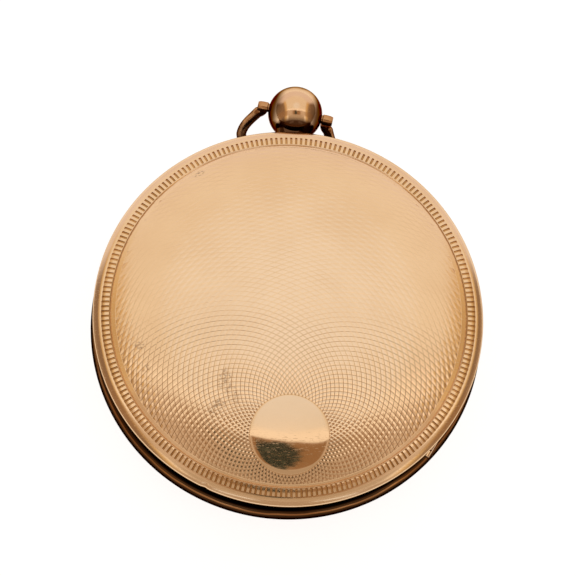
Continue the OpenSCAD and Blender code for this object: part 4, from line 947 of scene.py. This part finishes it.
def make_dial_print():
    parts = []
    for hour, text in enumerate(NUMERALS):
        parts += numeral(text, hour * math.pi / 6)
    for minute in range(60):
        turn = minute * math.pi / 30
        ends = [np.array(dial_point(r, turn)) for r in (MINUTE_IN, MINUTE_OUT)]
        parts.append(stroke(*ends, MINUTE_WIDTH if minute % 5 else FIVE_WIDTH))
    for r in TRACK_RADII:
        r_in, r_out = r - TRACK_HALF, r + TRACK_HALF
        profile = [(r_in, PRINT_FRONT), (r_out, PRINT_FRONT), (r_out, PRINT_BACK),
                   (r_in, PRINT_BACK)]
        verts, faces = lathe(profile, TRACK_SIDES)
        parts.append((verts, flipped(faces)))
    verts, faces = combine(parts)
    add_object("dial_print", verts, faces, [dial_black], "case", sharp=20)


# The studio. A direction's x, y and z run to the right, to the pendant and up, and each pair
# below is where a soft edge starts and where it ends.
WHITE, WARM_WHITE, STRIP_WHITE = (1.0, 1.0, 1.0), (0.97, 0.89, 0.77), (1.20, 1.10, 0.97)
AMBER, UMBER, DIM_ROOM = (0.80, 0.57, 0.28), (0.30, 0.20, 0.13), (0.42, 0.30, 0.20)
BACK_WALL, BROWN = (0.93, 0.84, 0.83), (0.38, 0.22, 0.11)
BLACK, LEAF_GREY = (0.025, 0.03, 0.025), (0.28, 0.29, 0.20)
CREAM, FRONT_ROOM = (0.56, 0.45, 0.34), (0.52, 0.40, 0.30)
PANEL_X = 0.03
PANEL_SIDE, AMBER_SIDE = (0.58, 0.68), (0.68, 0.80)
BRIGHTEST_X, BRIGHTEST_Y, BRIGHTEST_FADE = 0.05, 0.25, (0.01, 0.09)
STRIP_Y = (0.08, -0.02)
DIM_Z, DIM_Y = (0.34, 0.12), (0.5, 0.2)
WALL_Z, WALL_Y = (0.62, 0.35), (0.4, 0.6)
GAP_X, GAP_SIDE = 0.05, (0.16, 0.40, 1.0, 0.6)
GAP_SLANT = (-0.03, 0.13, 0.0, 0.045)
GAP_BACK, GAP_FRONT = (-0.070, -0.090), (-0.44, -0.38)
LENS_Y, LENS_WIDE, LENS_LONG = -0.255, 0.09, 0.15
LENS_EDGE, LENS_RAGGED = (1.15, 0.85), (0.3, 0.7, -0.4, 0.4)
LEAVES = (0.50, 0.66)
LAMP_BACK, LAMP_FRONT, LAMP_SIDE = (-0.38, -0.43), (-0.70, -0.66), (0.62, 0.5)
FRONT_ROOM_Y = (-0.66, -0.72)
WINDOW_BACK, WINDOW_FRONT = (-0.76, -0.78), (-0.86, -0.83)
WINDOW_IN, WINDOW_OUT = (0.15, 0.18), (0.44, 0.40)


def make_world():
    world = bpy.data.worlds.new("studio")
    bpy.context.scene.world = world
    world.use_nodes = True
    n = Nodes(world.node_tree)
    direction = n.coord("Generated")
    x, y, z = n.split(direction)
    # a wide soft panel overhead and behind, with amber edges and a dim room on both sides
    aside = n.off(x, PANEL_X)
    far = n.plus(n.square(n.minus(x, BRIGHTEST_X)), n.square(n.minus(y, BRIGHTEST_Y)))
    colour = n.mix(n.ramp(far, *BRIGHTEST_FADE), WHITE, WARM_WHITE)
    colour = n.mix(n.ramp(y, *STRIP_Y), colour, STRIP_WHITE)
    colour = n.mix(n.ramp(aside, *PANEL_SIDE), colour, AMBER)
    colour = n.mix(n.ramp(aside, *AMBER_SIDE), colour, UMBER)
    colour = n.mix(n.times(n.ramp(z, *DIM_Z), n.ramp(y, *DIM_Y)), colour, DIM_ROOM)
    colour = n.mix(n.times(n.ramp(z, *WALL_Z), n.ramp(y, *WALL_Y)), colour, BACK_WALL)
    # the gap before the panel's slanted front edge, with the camera in it
    edge = n.plus(y, n.ramp(x, *GAP_SLANT, smooth=False))
    gap = n.times(n.ramp(edge, *GAP_BACK), n.ramp(y, *GAP_FRONT))
    gap = n.times(gap, n.ramp(n.off(x, GAP_X), *GAP_SIDE))
    colour = n.mix(gap, colour, BROWN)
    lens = n.plus(n.square(n.math("DIVIDE", x, LENS_WIDE)),
                  n.square(n.math("DIVIDE", n.minus(y, LENS_Y), LENS_LONG)))
    lens = n.plus(lens, n.ramp(n.noise(26, 3.0, 0.6, direction), *LENS_RAGGED))
    leaves = n.ramp(n.noise(120, 3.0, 0.7, direction), *LEAVES)
    colour = n.mix(n.ramp(lens, *LENS_EDGE), colour, n.mix(leaves, BLACK, LEAF_GREY))
    # a lamp before it, and two windows in the room below
    lamp = n.times(n.ramp(y, *LAMP_BACK), n.ramp(y, *LAMP_FRONT))
    colour = n.mix(n.times(lamp, n.ramp(aside, *LAMP_SIDE)), colour, CREAM)
    colour = n.mix(n.ramp(y, *FRONT_ROOM_Y), colour, FRONT_ROOM)
    window = n.times(n.ramp(y, *WINDOW_BACK), n.ramp(y, *WINDOW_FRONT))
    window = n.times(window, n.times(n.ramp(aside, *WINDOW_IN), n.ramp(aside, *WINDOW_OUT)))
    colour = n.mix(window, colour, WHITE)
    light = n.add("ShaderNodeBackground")
    n.value(light.inputs["Color"], colour)
    light.inputs["Strength"].default_value = 1.0
    out = n.add("ShaderNodeOutputWorld")
    n.link(light.outputs[0], out.inputs["Surface"])


FLOOR_HALF = 3000.0
FLOOR_GREY = (0.3, 0.3, 0.3, 1)
FLOOR_GLOW = 0.88


def make_floor():
    """A grey floor that the camera, and metal and glass, see as pale paper."""
    s = FLOOR_HALF
    floor = mesh_object("floor", [(-s, -s, 0), (s, -s, 0), (s, s, 0), (-s, s, 0)], [(0, 1, 2, 3)])
    mat, n, surface = empty_material("floor_paper")
    diffuse = n.add("ShaderNodeBsdfDiffuse")
    diffuse.inputs["Color"].default_value = FLOOR_GREY
    glow = n.add("ShaderNodeEmission")
    rays = n.add("ShaderNodeLightPath").outputs
    seen = n.most(rays["Is Camera Ray"], n.most(rays["Is Glossy Ray"],
                                                rays["Is Transmission Ray"]))
    n.value(glow.inputs["Strength"], n.times(seen, FLOOR_GLOW))
    both = n.add("ShaderNodeAddShader")
    n.link(diffuse.outputs[0], both.inputs[0])
    n.link(glow.outputs[0], both.inputs[1])
    n.link(both.outputs[0], surface)
    floor.data.materials.append(mat)


make_camera()
make_world()
make_floor()
finish_cad_nodes()
make_cover()
make_bezel()
make_bow()
make_dial_print()
bpy.context.scene.view_settings.view_transform = "Standard"
